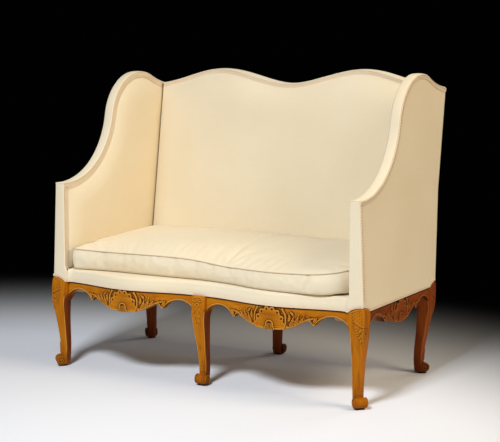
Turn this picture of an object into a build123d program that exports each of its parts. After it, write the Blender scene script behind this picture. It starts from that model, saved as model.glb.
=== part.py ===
"""Winged two-seat settee: carved cabriole seat frame, upholstered back and wings, one loose cushion."""

from build123d import *
import os
from math import cos, degrees, pi, radians, sin, sqrt, tan

# Driving dimensions, in millimetres and degrees
HALF_WIDTH = 612.0  # centre line to the outer face of a corner leg block
SEAT_DEPTH = 598.0  # front face of the front blocks to the rear face of the rear blocks
RAIL_TOP = 330.0  # top of the seat rails above the floor
APRON_TOP = 314.0  # line where the show-wood ends and the cloth begins
DECK_TOP = 360.0  # top of the tight seat deck
ARM_TOP = 671.0  # top of the arm at its front
CREST_PEAK = 1070.0  # two peaks of the crest
CREST_VALLEY = 1017.0  # dip of the crest on the centre line
CREST_PEAK_X = 298.0  # centre line to a peak
CREST_END_SLOPE = 0.06  # slope of the crest where it meets the wings
RAKE = 8.5  # lean of the back, in degrees

# Legs
BLOCK = 54.0  # side of the square block at the top of a leg
BLOCK_BOTTOM = 266.0  # lower end of the block, level with the feet of the apron arches
TAPER_BOTTOM = 236.0  # the block tapers into the leg down to here
TAPER_SIZE = 46.0
KNEE_Z = 232.0
KNEE_SIZE = 48.0
CALF_Z = 149.0
CALF_SIZE = 37.0
ANKLE_Z = 66.0
ANKLE_SIZE = 31.0
LEG_ROUND = 7.0  # rounding of the leg's four arrises
# How far a leg sways outward from its axis at the knee, calf, ankle, heel and scroll
FRONT_SWAY = (13.7, 7.8, 3.0, 8.0, 24.0)
REAR_SWAY = (4.7, -5.2, -16.0, -12.0, 0.0)
MIDDLE_SWAY = (8.0, -3.0, -12.5, -7.0, 6.0)
SCROLL_RADIUS = 16.0
SCROLL_WIDTH = 37.0
SCROLL_TURN = 5.0  # width of the raised band of the volute
SCROLL_RELIEF = 1.6  # how proud the volute stands of the scroll's ends
SCROLL_MARGIN = 1.0  # flat rim outside the volute
PAD_SIZE = 28.0  # small square pad under a foot
PAD_HEIGHT = 6.0
KNEE_PROUD = 3.0  # how proud the carved knee stands of its block
KNEE_ARCH_Z = 331.0  # top of the arched knee on the leg's corner
KNEE_SHOULDER = 4.0  # ends of the arch below the apron top
INSIDE = 1.0  # knees end this far inside the joint faces of their blocks

# Seat rails
RAIL_T = 28.0
REVEAL = 10.0  # rail face behind the face of the leg blocks
BOW = 40.0  # forward bow of each half of the front
REBATE = 3.0  # step in the front rails for the cloth
ARCH_HEIGHT = 291.0  # top of the arch beside a leg
ARCH_FOOT = 266.0  # lower edge where an apron meets a leg
ARCH_SPAN = 112.0
LEAF_TIP = 258.0  # tip of the small leaf drop
LEAF_W = 10.0
LEAF_NEAR = 3.0  # rise of the leaf's corners over its tip, towards the leg and towards the shell
LEAF_FAR = 5.0
NOTCH_W = 20.0  # notch between the leaf and the belly
NOTCH_TURN = 7.0  # leaf to the point where the notch turns over
NOTCH_TOP = 271.0
BELLY_TOP = 272.0
BELLY_SLOPE = 0.75
APRON_LOW = 236.0  # lowest point, under the shell
REAR_RAIL_BOTTOM = 262.0
SHELL_RELIEF = 5.0
SHELL_ROOT = 12.0  # root of the shell above the lowest point
SHELL_REACH = 58.0  # root to the tip of the longest petal
SHELL_SPREAD = 156.0  # angle between the outer petals
SHELL_TOP_GAP = 3.0  # middle petals end this far below the cloth
SHELL_BOSS_W = 11.0  # half width and half height of the boss at the root
SHELL_BOSS_H = 7.7
PETAL_W = 9.5
PETAL_PITCH = 11.0  # spacing of the petals where they start
PETALS = 9
TENON_T = 12.0
TENON_L = 22.0
TENON_H = 40.0
TENON_DROP = 10.0  # top of a tenon below the rail top
JOINT_GAP = 0.15  # glue line in the joints
PEG_D = 7.0
PEG_SPACING = 20.0
PEG_STOP = 6.0  # how far a peg goes on past its tenon
PEG_SUNK = 0.5  # pegs end this far below the face they were driven from
STRETCHER_W = 44.0
STRETCHER_H = 40.0
STRETCHER_DROP = 12.0  # stretcher top below the rail top, clear of the webbing
CORNER_BLOCK = 62.0
CORNER_BLOCK_H = 44.0

# Upper frame
POST_DEPTH = 50.0  # arm post, front to back
PLANK_T = 22.0  # arm rails, wing rails and tacking rails
PLANK_H = 46.0
FLARE = 15.0  # how far the sides flare outward from the upper frame to the seat frame
FLARE_DROP = 20.0  # the flare starts this far below the arm top
BACK_FRAME_T = 30.0
MIDDLE_STILE_W = 41.0
CREST_RAIL_BOTTOM = 945.0
TACK_RAIL_Z = 372.0
TACK_RAIL_H = 30.0
UPPER_TENON_L = 20.0
BACK_TENON_L = 14.0
UPPER_TENON_T = 10.0
UPPER_TENON_W = 22.0

# Wing outline, from the front: level arm, hollow sweep up, round over the top, hollow run to the back
ARM_LEVEL = 16.0  # level length of the arm top behind the leg face
SWEEP_RADIUS = 289.0
SWEEP_TURN = 79.0
CROWN_RADIUS = 192.0
CROWN_TURN = 103.0
TAIL_RADIUS = 384.0
TAIL_TURN = 21.0
WING_POINTS = 24  # points that carry this outline onto the swell of the stuffing

# Cloth, webbing and stuffing
CLOTH = 3.0  # cover with its lining
HESSIAN = 1.0
STRAP_W = 60.0
STRAP_T = 1.5
SEAT_STRAPS = 8  # front to back
SEAT_CROSS_STRAPS = 5
BACK_STRAPS = 8
BACK_CROSS_STRAPS = 3
STRAP_SETBACK = 7.0  # strap ends from the face of the frame
LIP = 3.0  # how proud the deck's front lip stands of the rail
LIP_ROUND = 9.0
WING_FLANGE = 8.0  # thickness of the wing stuffing at its edge
WING_CROWN = 14.0  # extra thickness at its middle
WING_CROWN_RUN = 70.0
BACK_FLANGE = 30.0
BACK_CROWN = 22.0
BACK_CROWN_RUN = 90.0
BRAID_W = 15.0
BRAID_T = 2.0
SOFT_GAP = 0.4  # soft pieces clear of their neighbours

# Loose cushion
CUSHION_SIDE_GAP = 6.0  # to the inside wings
CUSHION_BACK_GAP = 1.0
CUSHION_OVERHANG = 8.0  # past the deck's front lip
BOXING = 60.0  # height between the two cords
CUSHION_CROWN = 36.0  # rise of the top panel above its seam
CROWN_RUN = 170.0  # distance over which the top panel rises
DRAW_IN = 7.0  # how far the sides draw in between the corners
COVER_T = 1.5
PIPING_D = 6.0
CUSHION_GAP = 0.3  # over the deck

# Derived planes and lines
MIDDLE = BLOCK / 2  # half width of the middle leg blocks
INNER_FACE = HALF_WIDTH - BLOCK  # inner face of the corner blocks
REAR_BLOCK = SEAT_DEPTH - BLOCK  # front face of the rear blocks
REACH = 4.0 * SEAT_DEPTH  # size of cutting bodies
LEAN = radians(RAKE)
BACK = Plane(origin=(0, SEAT_DEPTH, RAIL_TOP), x_dir=(1, 0, 0), z_dir=(0, -cos(LEAN), sin(LEAN)))
UPPER_HALF = HALF_WIDTH - FLARE  # centre line to the outer face of the upper frame
FLARE_TOP = ARM_TOP - FLARE_DROP
PLANK_INNER = UPPER_HALF - PLANK_T
PAD_BASE = PLANK_INNER - HESSIAN  # inside wing stuffing starts here
FLANGE_FACE = PAD_BASE - WING_FLANGE
BORDER_INNER = FLANGE_FACE - BRAID_T
BORDER_OUTER = UPPER_HALF + CLOTH
BACK_STRAP_N = BACK_FRAME_T + 2 * STRAP_T
BACK_PAD_N = BACK_STRAP_N + HESSIAN
BACK_FACE_N = BACK_PAD_N + BACK_FLANGE
SEAT_HESSIAN_Z = RAIL_TOP + 2 * STRAP_T
DECK_BOTTOM = SEAT_HESSIAN_Z + HESSIAN
DECK_HALF = PAD_BASE - SOFT_GAP
PAD_BOTTOM = DECK_TOP + SOFT_GAP


# Helpers
def along_x(face, x0, x1):
    """Prism of a (y, z) outline."""
    return extrude(Plane.YZ.offset(x0) * face, amount=x1 - x0)


def along_y(face, y0, y1):
    """Prism of an (x, z) outline."""
    return extrude(Plane.XZ.offset(-y0) * face, amount=y0 - y1)


def along_z(face, z0, z1):
    """Prism of an (x, y) outline."""
    return extrude(Plane.XY.offset(z0) * face, amount=z1 - z0)


def box(x0, x1, y0, y1, z0, z1):
    """Block between six planes."""
    return Pos((x0 + x1) / 2, (y0 + y1) / 2, (z0 + z1) / 2) * Box(x1 - x0, y1 - y0, z1 - z0)


def outline(*points):
    """Closed straight-sided outline."""
    return make_face(Polyline(*points, close=True))


def back_slab(n0, n1):
    """Slab parallel to the leaning back, n counted forward from the frame's rear face."""
    return extrude(BACK.offset(n0) * Rectangle(REACH, REACH), amount=n1 - n0)


def back_y(z, n=0.0):
    """Depth of the leaning plane n at a height."""
    return SEAT_DEPTH + (z - RAIL_TOP) * tan(LEAN) - n / cos(LEAN)


def mirrored(shape):
    """Left-hand twin of a right-hand piece."""
    return mirror(shape, about=Plane.YZ)


def peg_bar(start, end, diameter, sunk):
    """Round bar between two points, sunk below the first."""
    path = Vector(*end) - Vector(*start)
    seat = Plane(origin=start, z_dir=path).offset(sunk)
    return extrude(seat * Circle(diameter / 2), amount=path.length - sunk)


def side_strip(inner, outer):
    """(x, z) strip that follows the flared side, from one offset to another off the upper frame's face."""
    base = HALF_WIDTH
    top = UPPER_HALF
    return outline(
        (base + inner, 0), (base + inner, RAIL_TOP), (top + inner, FLARE_TOP), (top + inner, REACH),
        (top + outer, REACH), (top + outer, FLARE_TOP), (base + outer, RAIL_TOP), (base + outer, 0),
    )


# Outlines that several pieces share
def wing_edge(inset):
    """Upper edge of a wing in (y, z), drawn inward by an inset, from the leg face to behind the back."""
    level = Line((-REACH / 4, ARM_TOP - inset), (ARM_LEVEL, ARM_TOP - inset))
    sweep_up = JernArc(level @ 1, (1, 0), SWEEP_RADIUS + inset, SWEEP_TURN)
    crown = JernArc(sweep_up @ 1, sweep_up % 1, CROWN_RADIUS - inset, -CROWN_TURN)
    tail = JernArc(crown @ 1, crown % 1, TAIL_RADIUS + inset, TAIL_TURN)
    end = Line(tail @ 1, (tail @ 1) + (tail % 1) * REACH / 8)
    return [level, sweep_up, crown, tail, end]


def wing_area(inset, bottom, front=-REACH / 4):
    """Everything under a wing's edge, down to a height."""
    edges = wing_edge(inset)
    start = edges[0] @ 0
    finish = edges[-1] @ 1
    down = Line(finish, (finish.X, bottom))
    floor = Line((finish.X, bottom), (start.X, bottom))
    face = make_face(edges + [down, floor, Line((start.X, bottom), start)])
    if front > start.X:
        face &= Pos(front + REACH, 0) * Rectangle(2 * REACH, 2 * REACH)
    return face


def wing_band(inset, depth, front):
    """Band of even width along a wing's edge."""
    return wing_area(inset, 0, front) - wing_area(inset + depth, -REACH / 8, front - BLOCK)


def walk(edges, distance):
    """Point at a distance along joined edges."""
    for edge in edges:
        if distance <= edge.length:
            return edge @ (distance / edge.length)
        distance -= edge.length
    return edges[-1] @ 1


def crossing(edges, passed):
    """Distance along joined edges from which a condition holds."""
    low, high = 0.0, sum(edge.length for edge in edges)
    for step in range(50):
        middle = (low + high) / 2
        if passed(walk(edges, middle)):
            high = middle
        else:
            low = middle
    return high


def meets_back(edges, n):
    """Distance along a wing's edge at which it crosses the leaning plane n."""
    return crossing(edges, lambda point: point.X >= back_y(point.Y, n))


# Wing and crest meet at this height, on the outside of the back
CORNER_HEIGHT = walk(wing_edge(0), meets_back(wing_edge(0), -CLOTH)).Y


def crest_wave(inset):
    """Double wave of the crest in (x, z), lowered by an inset."""
    ends = CORNER_HEIGHT - inset
    peaks = CREST_PEAK - inset
    points = [
        (-BORDER_OUTER, ends), (-CREST_PEAK_X, peaks), (0, CREST_VALLEY - inset),
        (CREST_PEAK_X, peaks), (BORDER_OUTER, ends),
    ]
    level = (1, 0)
    ways = [(1, CREST_END_SLOPE), level, level, level, (1, -CREST_END_SLOPE)]
    return Spline(*points, tangents=ways)


def crest_area(inset, bottom, half):
    """(x, z) area under the crest."""
    wave = crest_wave(inset)
    right = Line(wave @ 1, (BORDER_OUTER, bottom))
    base = Line((BORDER_OUTER, bottom), (-BORDER_OUTER, bottom))
    face = make_face([wave, right, base, Line((-BORDER_OUTER, bottom), wave @ 0)])
    return face & Rectangle(2 * half, 2 * REACH)


def crest_at(x):
    """Share of the wave's length, from its middle to its right end, where it passes a width."""
    wave = crest_wave(0)
    low, high = 0.5, 1.0
    for step in range(40):
        middle = (low + high) / 2
        if (wave @ middle).X < x:
            low = middle
        else:
            high = middle
    return middle


def front_edge(shift):
    """Bowed front of the right half in plan, moved back by a shift."""
    run = INNER_FACE - MIDDLE
    shares = (0, 0.25, 0.5, 0.75, 1)
    points = [(MIDDLE + t * run, REVEAL - BOW * sin(pi * t) ** 2 + shift) for t in shares]
    return Spline(*points, tangents=[(1, 0), (1, 0)])


def front_band(shift, depth):
    """Plan band between two shifts of the bowed front."""
    near = front_edge(shift)
    far = front_edge(shift + depth)
    return make_face([near, Line(near @ 1, far @ 1), far, Line(far @ 0, near @ 0)])


def front_zone(shift, back):
    """Plan area from the bowed front to a straight line behind it."""
    near = front_edge(shift)
    right = Line(near @ 1, (INNER_FACE, back))
    rear = Line((INNER_FACE, back), (MIDDLE, back))
    return make_face([near, right, rear, Line((MIDDLE, back), near @ 0)])


def apron_half(near, way, middle):
    """Lower edge of an apron from a leg to its lowest point, going one way along the apron."""
    leaf = ARCH_SPAN + LEAF_W
    notch = leaf + NOTCH_W

    def at(run, z):
        return Vector(near + way * run, z)

    leaf_start = at(ARCH_SPAN, LEAF_TIP + LEAF_NEAR)
    leaf_end = at(leaf, LEAF_TIP + LEAF_FAR)
    belly_start = at(notch, BELLY_TOP)
    arch = ThreePointArc(at(0, ARCH_FOOT), at(ARCH_SPAN / 2, ARCH_HEIGHT), leaf_start)
    tip = ThreePointArc(leaf_start, at(ARCH_SPAN + LEAF_W / 2, LEAF_TIP), leaf_end)
    gap = ThreePointArc(leaf_end, at(leaf + NOTCH_TURN, NOTCH_TOP), belly_start)
    belly = Spline(belly_start, middle, tangents=[(way, -BELLY_SLOPE), (way, 0)])
    return [arch, tip, gap, belly]


def apron_area(length):
    """Apron face from leg to leg: arches, leaf drops and the belly under the shell."""
    middle = Vector(length / 2, APRON_LOW)
    top = [
        Line((0, ARCH_FOOT), (0, RAIL_TOP)), Line((0, RAIL_TOP), (length, RAIL_TOP)),
        Line((length, RAIL_TOP), (length, ARCH_FOOT)),
    ]
    return make_face(apron_half(0, 1, middle) + apron_half(length, -1, middle) + top)


def shell_petals(centre):
    """Fan of petals over the lowest point of an apron, as (along, z) outlines."""
    root = APRON_LOW + SHELL_ROOT
    middle = (PETALS - 1) / 2
    step = radians(SHELL_SPREAD) / (PETALS - 1)
    shorter = SHELL_REACH + root + SHELL_TOP_GAP - APRON_TOP  # what the upright petal gives up
    petals = Sketch()
    for i in range(PETALS):
        angle = (i - middle) * step
        tip = SHELL_REACH - shorter * abs(cos(angle)) ** 3
        start = min(tip / 2, PETAL_PITCH / step / 2)
        turned = Pos(centre, root) * Rot(0, 0, 90 + degrees(angle))
        petals += turned * Pos((tip + start) / 2, 0) * Ellipse((tip - start) / 2, PETAL_W / 2)
    petals += Pos(centre, root) * Ellipse(SHELL_BOSS_W, SHELL_BOSS_H)
    return petals


# Cabriole legs
def volute(width):
    """Raised spiral of a scroll's end, about the origin, three half turns wound inward."""
    rows = []
    for shift in (SCROLL_MARGIN, SCROLL_MARGIN + SCROLL_TURN):
        radius = SCROLL_RADIUS - shift
        start = Vector(-radius, 0)
        side = 1
        row = []
        for turn in range(3):
            end = start + Vector(side * 2 * (radius - turn * SCROLL_TURN * 0.7), 0)
            middle = (start + end) * 0.5 + Vector(0, side * (end - start).length / 2)
            row.append(ThreePointArc(start, middle, end))
            start = end
            side = -side
        rows.append(row)
    outer, inner = rows
    closing = [Line(outer[0] @ 0, inner[0] @ 0), Line(outer[2] @ 1, inner[2] @ 1)]
    return extrude(make_face(outer + inner + closing), amount=width)


def cabriole(x, y, out_x, out_y, sway, top, top_push, top_w, top_d):
    """Leg from its foot pad to the top of its knee, swaying along (out_x, out_y), with its square block."""
    knee_push, calf_push, ankle_push, heel_push, scroll_push = sway

    def section(z, push, width, depth):
        middle = Pos(x + out_x * push, y + out_y * push)
        return Plane.XY.offset(z) * middle * RectangleRounded(width, depth, LEG_ROUND)

    shaft = loft([
        section(PAD_HEIGHT, heel_push, ANKLE_SIZE, ANKLE_SIZE),
        section(ANKLE_Z, ankle_push, ANKLE_SIZE, ANKLE_SIZE),
        section(CALF_Z, calf_push, CALF_SIZE, CALF_SIZE),
        section(KNEE_Z, knee_push, KNEE_SIZE, KNEE_SIZE),
        section(top, top_push, top_w, top_d),
    ])
    roll_centre = (x + out_x * scroll_push, y + out_y * scroll_push, PAD_HEIGHT + SCROLL_RADIUS)
    across = Plane(origin=roll_centre, x_dir=(out_x, out_y, 0), z_dir=(out_y, -out_x, 0))
    scroll = extrude(across * Circle(SCROLL_RADIUS), amount=SCROLL_WIDTH / 2, both=True)
    spiral = across.offset(SCROLL_WIDTH / 2 - SCROLL_RELIEF) * volute(2 * SCROLL_RELIEF)
    scroll = scroll + spiral + mirror(spiral, about=across)
    pad_push = (scroll_push + heel_push) / 2
    turned = Plane(origin=(x + out_x * pad_push, y + out_y * pad_push, 0), x_dir=(out_x, out_y, 0))
    pad = extrude(turned * Rectangle(PAD_SIZE, PAD_SIZE), amount=2 * PAD_HEIGHT)
    taper = loft([
        section(TAPER_BOTTOM, knee_push, TAPER_SIZE, TAPER_SIZE),
        section(BLOCK_BOTTOM, 0, BLOCK, BLOCK),
    ])
    return shaft + scroll + pad + taper


def leg_block(x, y):
    """Square block that takes the rails' tenons."""
    half = BLOCK / 2
    return box(x - half, x + half, y - half, y + half, BLOCK_BOTTOM, RAIL_TOP)


def corner_leg(x, y, out_x, out_y, sway):
    """Corner leg: its knee stands proud round the outer corner of the block and ends in an arch."""
    size = BLOCK + KNEE_PROUD - INSIDE
    push = (BLOCK / 2 + KNEE_PROUD - size / 2) * sqrt(2)
    top = KNEE_ARCH_Z + 2 * KNEE_PROUD
    leg = cabriole(x, y, out_x, out_y, sway, top, push, size, size)
    half = BLOCK / sqrt(2)
    ends = APRON_TOP - KNEE_SHOULDER
    above = make_face([
        ThreePointArc((-half, ends), (0, KNEE_ARCH_Z), (half, ends)),
        Line((half, ends), (BLOCK, ends)), Line((BLOCK, ends), (BLOCK, 2 * top)),
        Line((BLOCK, 2 * top), (-BLOCK, 2 * top)), Line((-BLOCK, 2 * top), (-BLOCK, ends)),
        Line((-BLOCK, ends), (-half, ends)),
    ])
    facing = Plane(origin=(x, y, 0), x_dir=(-out_y, out_x, 0), z_dir=(out_x, out_y, 0))
    return leg - extrude(facing * above, amount=2 * BLOCK, both=True) + leg_block(x, y)


def middle_leg(y, out_y):
    """Middle leg: its knee stands proud in front of the block only."""
    depth = BLOCK + KNEE_PROUD - INSIDE
    push = BLOCK / 2 + KNEE_PROUD - depth / 2
    leg = cabriole(0, y, 0, out_y, MIDDLE_SWAY, APRON_TOP, push, BLOCK - 2 * INSIDE, depth)
    return leg + leg_block(0, y)


CORNER_X = HALF_WIDTH - BLOCK / 2
FRONT_Y = BLOCK / 2
REAR_Y = SEAT_DEPTH - BLOCK / 2
DIAGONAL = 1 / sqrt(2)

# Joints of the seat frame: tenons as boxes, with the mortises a glue line larger
TENON_TOP = RAIL_TOP - TENON_DROP
TENON_BOTTOM = TENON_TOP - TENON_H
FRONT_TENON_Y = REVEAL + RAIL_T / 2
REAR_RAIL_FACE = back_y(APRON_TOP)
REAR_TENON_Y = REAR_RAIL_FACE - RAIL_T / 2
SIDE_TENON_X = HALF_WIDTH - RAIL_T / 2


def tenon_x(x0, x1, y, grow=0.0):
    """Tenon that runs along x, centred on a depth."""
    half = TENON_T / 2
    across = half + grow
    return box(x0 - grow, x1 + grow, y - across, y + across, TENON_BOTTOM - grow, TENON_TOP + grow)


def tenon_y(y0, y1, x, grow=0.0):
    """Tenon that runs along y, centred on a width."""
    half = TENON_T / 2
    across = half + grow
    return box(x - across, x + across, y0 - grow, y1 + grow, TENON_BOTTOM - grow, TENON_TOP + grow)


def front_tenons(grow=0.0):
    return [tenon_x(INNER_FACE - 1, INNER_FACE + TENON_L, FRONT_TENON_Y, grow),
            tenon_x(MIDDLE - TENON_L, MIDDLE + 1, FRONT_TENON_Y, grow)]


def rear_tenons(grow=0.0):
    return [tenon_x(INNER_FACE - 1, INNER_FACE + TENON_L, REAR_TENON_Y, grow),
            tenon_x(MIDDLE - TENON_L, MIDDLE + 1, REAR_TENON_Y, grow)]


def side_tenons(grow=0.0):
    return [tenon_y(BLOCK - TENON_L, BLOCK + 1, SIDE_TENON_X, grow),
            tenon_y(REAR_BLOCK - 1, REAR_BLOCK + TENON_L, SIDE_TENON_X, grow)]


def stretcher_tenons(grow=0.0):
    return [tenon_y(BLOCK - TENON_L, BLOCK + 1, 0, grow),
            tenon_y(REAR_BLOCK - 1, REAR_BLOCK + TENON_L, 0, grow)]


def peg_lines():
    """Ends of every peg in the right half of the seat frame, driven from inside the frame."""
    middle_z = (TENON_TOP + TENON_BOTTOM) / 2
    lines = []
    for z in (middle_z - PEG_SPACING / 2, middle_z + PEG_SPACING / 2):
        for x in (INNER_FACE + TENON_L / 2, MIDDLE - TENON_L / 2):
            lines.append(((x, BLOCK, z), (x, FRONT_TENON_Y - TENON_T / 2 - PEG_STOP, z)))
            lines.append(((x, REAR_BLOCK, z), (x, REAR_TENON_Y + TENON_T / 2 + PEG_STOP, z)))
        for y in (BLOCK - TENON_L / 2, REAR_BLOCK + TENON_L / 2):
            lines.append(((INNER_FACE, y, z), (SIDE_TENON_X + TENON_T / 2 + PEG_STOP / 2, y, z)))
    return lines


PEGS = [peg_bar(start, end, PEG_D, PEG_SUNK) for start, end in peg_lines()]
PEG_HOLES = [peg_bar(start, end, PEG_D + 2 * JOINT_GAP, 0) for start, end in peg_lines()]
MIRRORED_HOLES = [mirrored(hole) for hole in PEG_HOLES]

# Upper frame joints
ARM_RAIL_LOW = CLOTH + PLANK_H
POST_TOP = ARM_TOP - ARM_RAIL_LOW
PLANK_MID = UPPER_HALF - PLANK_T / 2
WING_SPLICE = (wing_edge(CLOTH)[1] @ 1)


def post_tenon(grow=0.0):
    half_t = UPPER_TENON_T / 2 + grow
    half_w = UPPER_TENON_W / 2 + grow
    y = POST_DEPTH / 2
    top = POST_TOP + UPPER_TENON_L + grow
    return box(PLANK_MID - half_t, PLANK_MID + half_t, y - half_w, y + half_w, POST_TOP - 2, top)


def stile_tenon(x, grow=0.0):
    """Tenon on top of a stile, inside the leaning frame, up into the crest rail."""
    half_w = UPPER_TENON_W / 2 + grow
    middle = BACK_FRAME_T / 2
    slab = back_slab(middle - UPPER_TENON_T / 2 - grow, middle + UPPER_TENON_T / 2 + grow)
    top = CREST_RAIL_BOTTOM + UPPER_TENON_L + grow
    column = box(x - half_w, x + half_w, 0, REACH, CREST_RAIL_BOTTOM - 1, top)
    return slab & column


def wing_tenon(grow=0.0):
    """Tenon on the rear end of a wing rail, back into the crest rail."""
    half_t = UPPER_TENON_T / 2 + grow
    top = CORNER_HEIGHT - CLOTH - PLANK_H / 4
    slab = back_slab(BACK_FRAME_T - UPPER_TENON_L - grow, BACK_FRAME_T + 1)
    bar = box(PLANK_MID - half_t, PLANK_MID + half_t, 0, REACH, top - UPPER_TENON_W - grow, top + grow)
    return slab & bar


def tack_tenons(grow=0.0):
    """Tenons of a side tacking rail into the arm post and the stile."""
    half_t = UPPER_TENON_T / 2 + grow
    middle = TACK_RAIL_Z + TACK_RAIL_H / 2
    half_h = UPPER_TENON_W / 2 + grow
    front = box(PLANK_MID - half_t, PLANK_MID + half_t, POST_DEPTH - UPPER_TENON_L - grow, POST_DEPTH + 1,
                middle - half_h, middle + half_h)
    bar = box(PLANK_MID - half_t, PLANK_MID + half_t, 0, REACH, middle - half_h, middle + half_h)
    return [front, bar & back_slab(BACK_FRAME_T - UPPER_TENON_L - grow, BACK_FRAME_T + 1)]


STILE_INNER = INNER_FACE  # a stile stands on its leg block
STILE_X = (STILE_INNER + UPPER_HALF) / 2


def back_tenons(grow=0.0):
    """Tenons of a right lower back rail into the corner stile and the middle stile."""
    middle = TACK_RAIL_Z + TACK_RAIL_H / 2
    half_h = UPPER_TENON_W / 2 + grow
    half_t = UPPER_TENON_T / 2 + grow
    slab = back_slab(BACK_FRAME_T / 2 - half_t, BACK_FRAME_T / 2 + half_t)
    slab &= box(-REACH, REACH, 0, REACH, middle - half_h, middle + half_h)
    face = MIDDLE_STILE_W / 2
    outer = box(STILE_INNER - 1, STILE_INNER + BACK_TENON_L + grow, 0, REACH, 0, REACH)
    inner = box(face - BACK_TENON_L - grow, face + 1, 0, REACH, 0, REACH)
    return [slab & outer, slab & inner]


nodes = {}

# Front corner leg with its arm post, right side
right_leg = corner_leg(CORNER_X, FRONT_Y, DIAGONAL, -DIAGONAL, FRONT_SWAY)
post = along_y(side_strip(-REACH / 4, 0), 0, POST_DEPTH)
post &= box(PLANK_INNER, REACH, 0, POST_DEPTH, RAIL_TOP - 1, ARM_TOP)
post &= along_x(wing_area(ARM_RAIL_LOW, 0), PLANK_INNER, REACH / 2)
right_leg = right_leg + post + post_tenon()
mortises = front_tenons(JOINT_GAP)[:1] + side_tenons(JOINT_GAP)[:1] + tack_tenons(JOINT_GAP)[:1]
for cut in mortises + PEG_HOLES:
    right_leg -= cut
nodes["front_right_leg"] = right_leg
nodes["front_left_leg"] = mirrored(right_leg)

# Rear corner leg with its stile, right side
right_rear = corner_leg(CORNER_X, REAR_Y, DIAGONAL, DIAGONAL, REAR_SWAY)
stile = back_slab(0, BACK_FRAME_T) & along_y(side_strip(-REACH / 4, 0), 0, REACH)
stile &= box(STILE_INNER, REACH, 0, REACH, RAIL_TOP - 1, CREST_RAIL_BOTTOM)
right_rear = right_rear + stile + stile_tenon(STILE_X)
mortises = rear_tenons(JOINT_GAP)[:1] + side_tenons(JOINT_GAP)[1:] + tack_tenons(JOINT_GAP)[1:]
for cut in mortises + PEG_HOLES:
    right_rear -= cut
right_rear -= back_tenons(JOINT_GAP)[0]
nodes["rear_right_leg"] = right_rear
nodes["rear_left_leg"] = mirrored(right_rear)

# Middle legs, the rear one with its stile
front_middle = middle_leg(FRONT_Y, -1)
front_middle -= box(-BLOCK, BLOCK, -BLOCK, REVEAL + REBATE, APRON_TOP, REACH)
for tenon in [front_tenons(JOINT_GAP)[1], stretcher_tenons(JOINT_GAP)[0]]:
    front_middle -= tenon
front_middle -= mirrored(front_tenons(JOINT_GAP)[1])
for hole in PEG_HOLES + MIRRORED_HOLES:
    front_middle -= hole
nodes["front_middle_leg"] = front_middle

rear_middle = middle_leg(REAR_Y, 1)
middle_stile = back_slab(0, BACK_FRAME_T) & box(
    -MIDDLE_STILE_W / 2, MIDDLE_STILE_W / 2, 0, REACH, RAIL_TOP - 1, CREST_RAIL_BOTTOM)
rear_middle = rear_middle + middle_stile + stile_tenon(0)
for tenon in [rear_tenons(JOINT_GAP)[1], back_tenons(JOINT_GAP)[1]]:
    rear_middle = rear_middle - tenon - mirrored(tenon)
rear_middle -= stretcher_tenons(JOINT_GAP)[1]
for hole in PEG_HOLES + MIRRORED_HOLES:
    rear_middle -= hole
nodes["rear_middle_leg"] = rear_middle

# Front apron, right side, bowed in plan, scalloped below and carved with a shell
front_run = INNER_FACE - MIDDLE
front_apron = along_z(front_band(0, RAIL_T), APRON_LOW - 1, RAIL_TOP)
front_apron -= along_z(front_band(-1, REBATE + 1), APRON_TOP, REACH)
front_apron &= along_y(Pos(MIDDLE, 0) * apron_area(front_run), -REACH, REACH)
shell = along_z(front_band(-SHELL_RELIEF, SHELL_RELIEF + 2), APRON_LOW - SHELL_REACH, APRON_TOP)
shell &= along_y(shell_petals(MIDDLE + front_run / 2), -REACH, REACH)
front_apron += shell
for tenon in front_tenons():
    front_apron += tenon
for hole in PEG_HOLES:
    front_apron -= hole
nodes["front_right_apron"] = front_apron
nodes["front_left_apron"] = mirrored(front_apron)

# Side apron, right side
side_run = REAR_BLOCK - BLOCK
side_face = HALF_WIDTH
side_apron = along_x(Pos(BLOCK, 0) * apron_area(side_run), side_face - RAIL_T, side_face)
side_apron += along_x(shell_petals(BLOCK + side_run / 2), side_face - 2, side_face + SHELL_RELIEF)
for tenon in side_tenons():
    side_apron += tenon
for hole in PEG_HOLES:
    side_apron -= hole
nodes["right_side_apron"] = side_apron
nodes["left_side_apron"] = mirrored(side_apron)

# Plain rear seat rail, right side
rear_rail = box(MIDDLE, INNER_FACE, REAR_RAIL_FACE - RAIL_T, REAR_RAIL_FACE, REAR_RAIL_BOTTOM, RAIL_TOP)
for tenon in rear_tenons():
    rear_rail += tenon
for hole in PEG_HOLES:
    rear_rail -= hole
nodes["rear_right_rail"] = rear_rail
nodes["rear_left_rail"] = mirrored(rear_rail)

# Stretcher from front to back under the webbing
stretcher_top = RAIL_TOP - STRETCHER_DROP
stretcher_low = stretcher_top - STRETCHER_H
stretcher = box(-STRETCHER_W / 2, STRETCHER_W / 2, BLOCK, REAR_BLOCK, stretcher_low, stretcher_top)
for tenon in stretcher_tenons():
    stretcher += tenon & box(-REACH, REACH, -REACH, REACH, 0, stretcher_top)
nodes["seat_stretcher"] = stretcher

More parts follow.
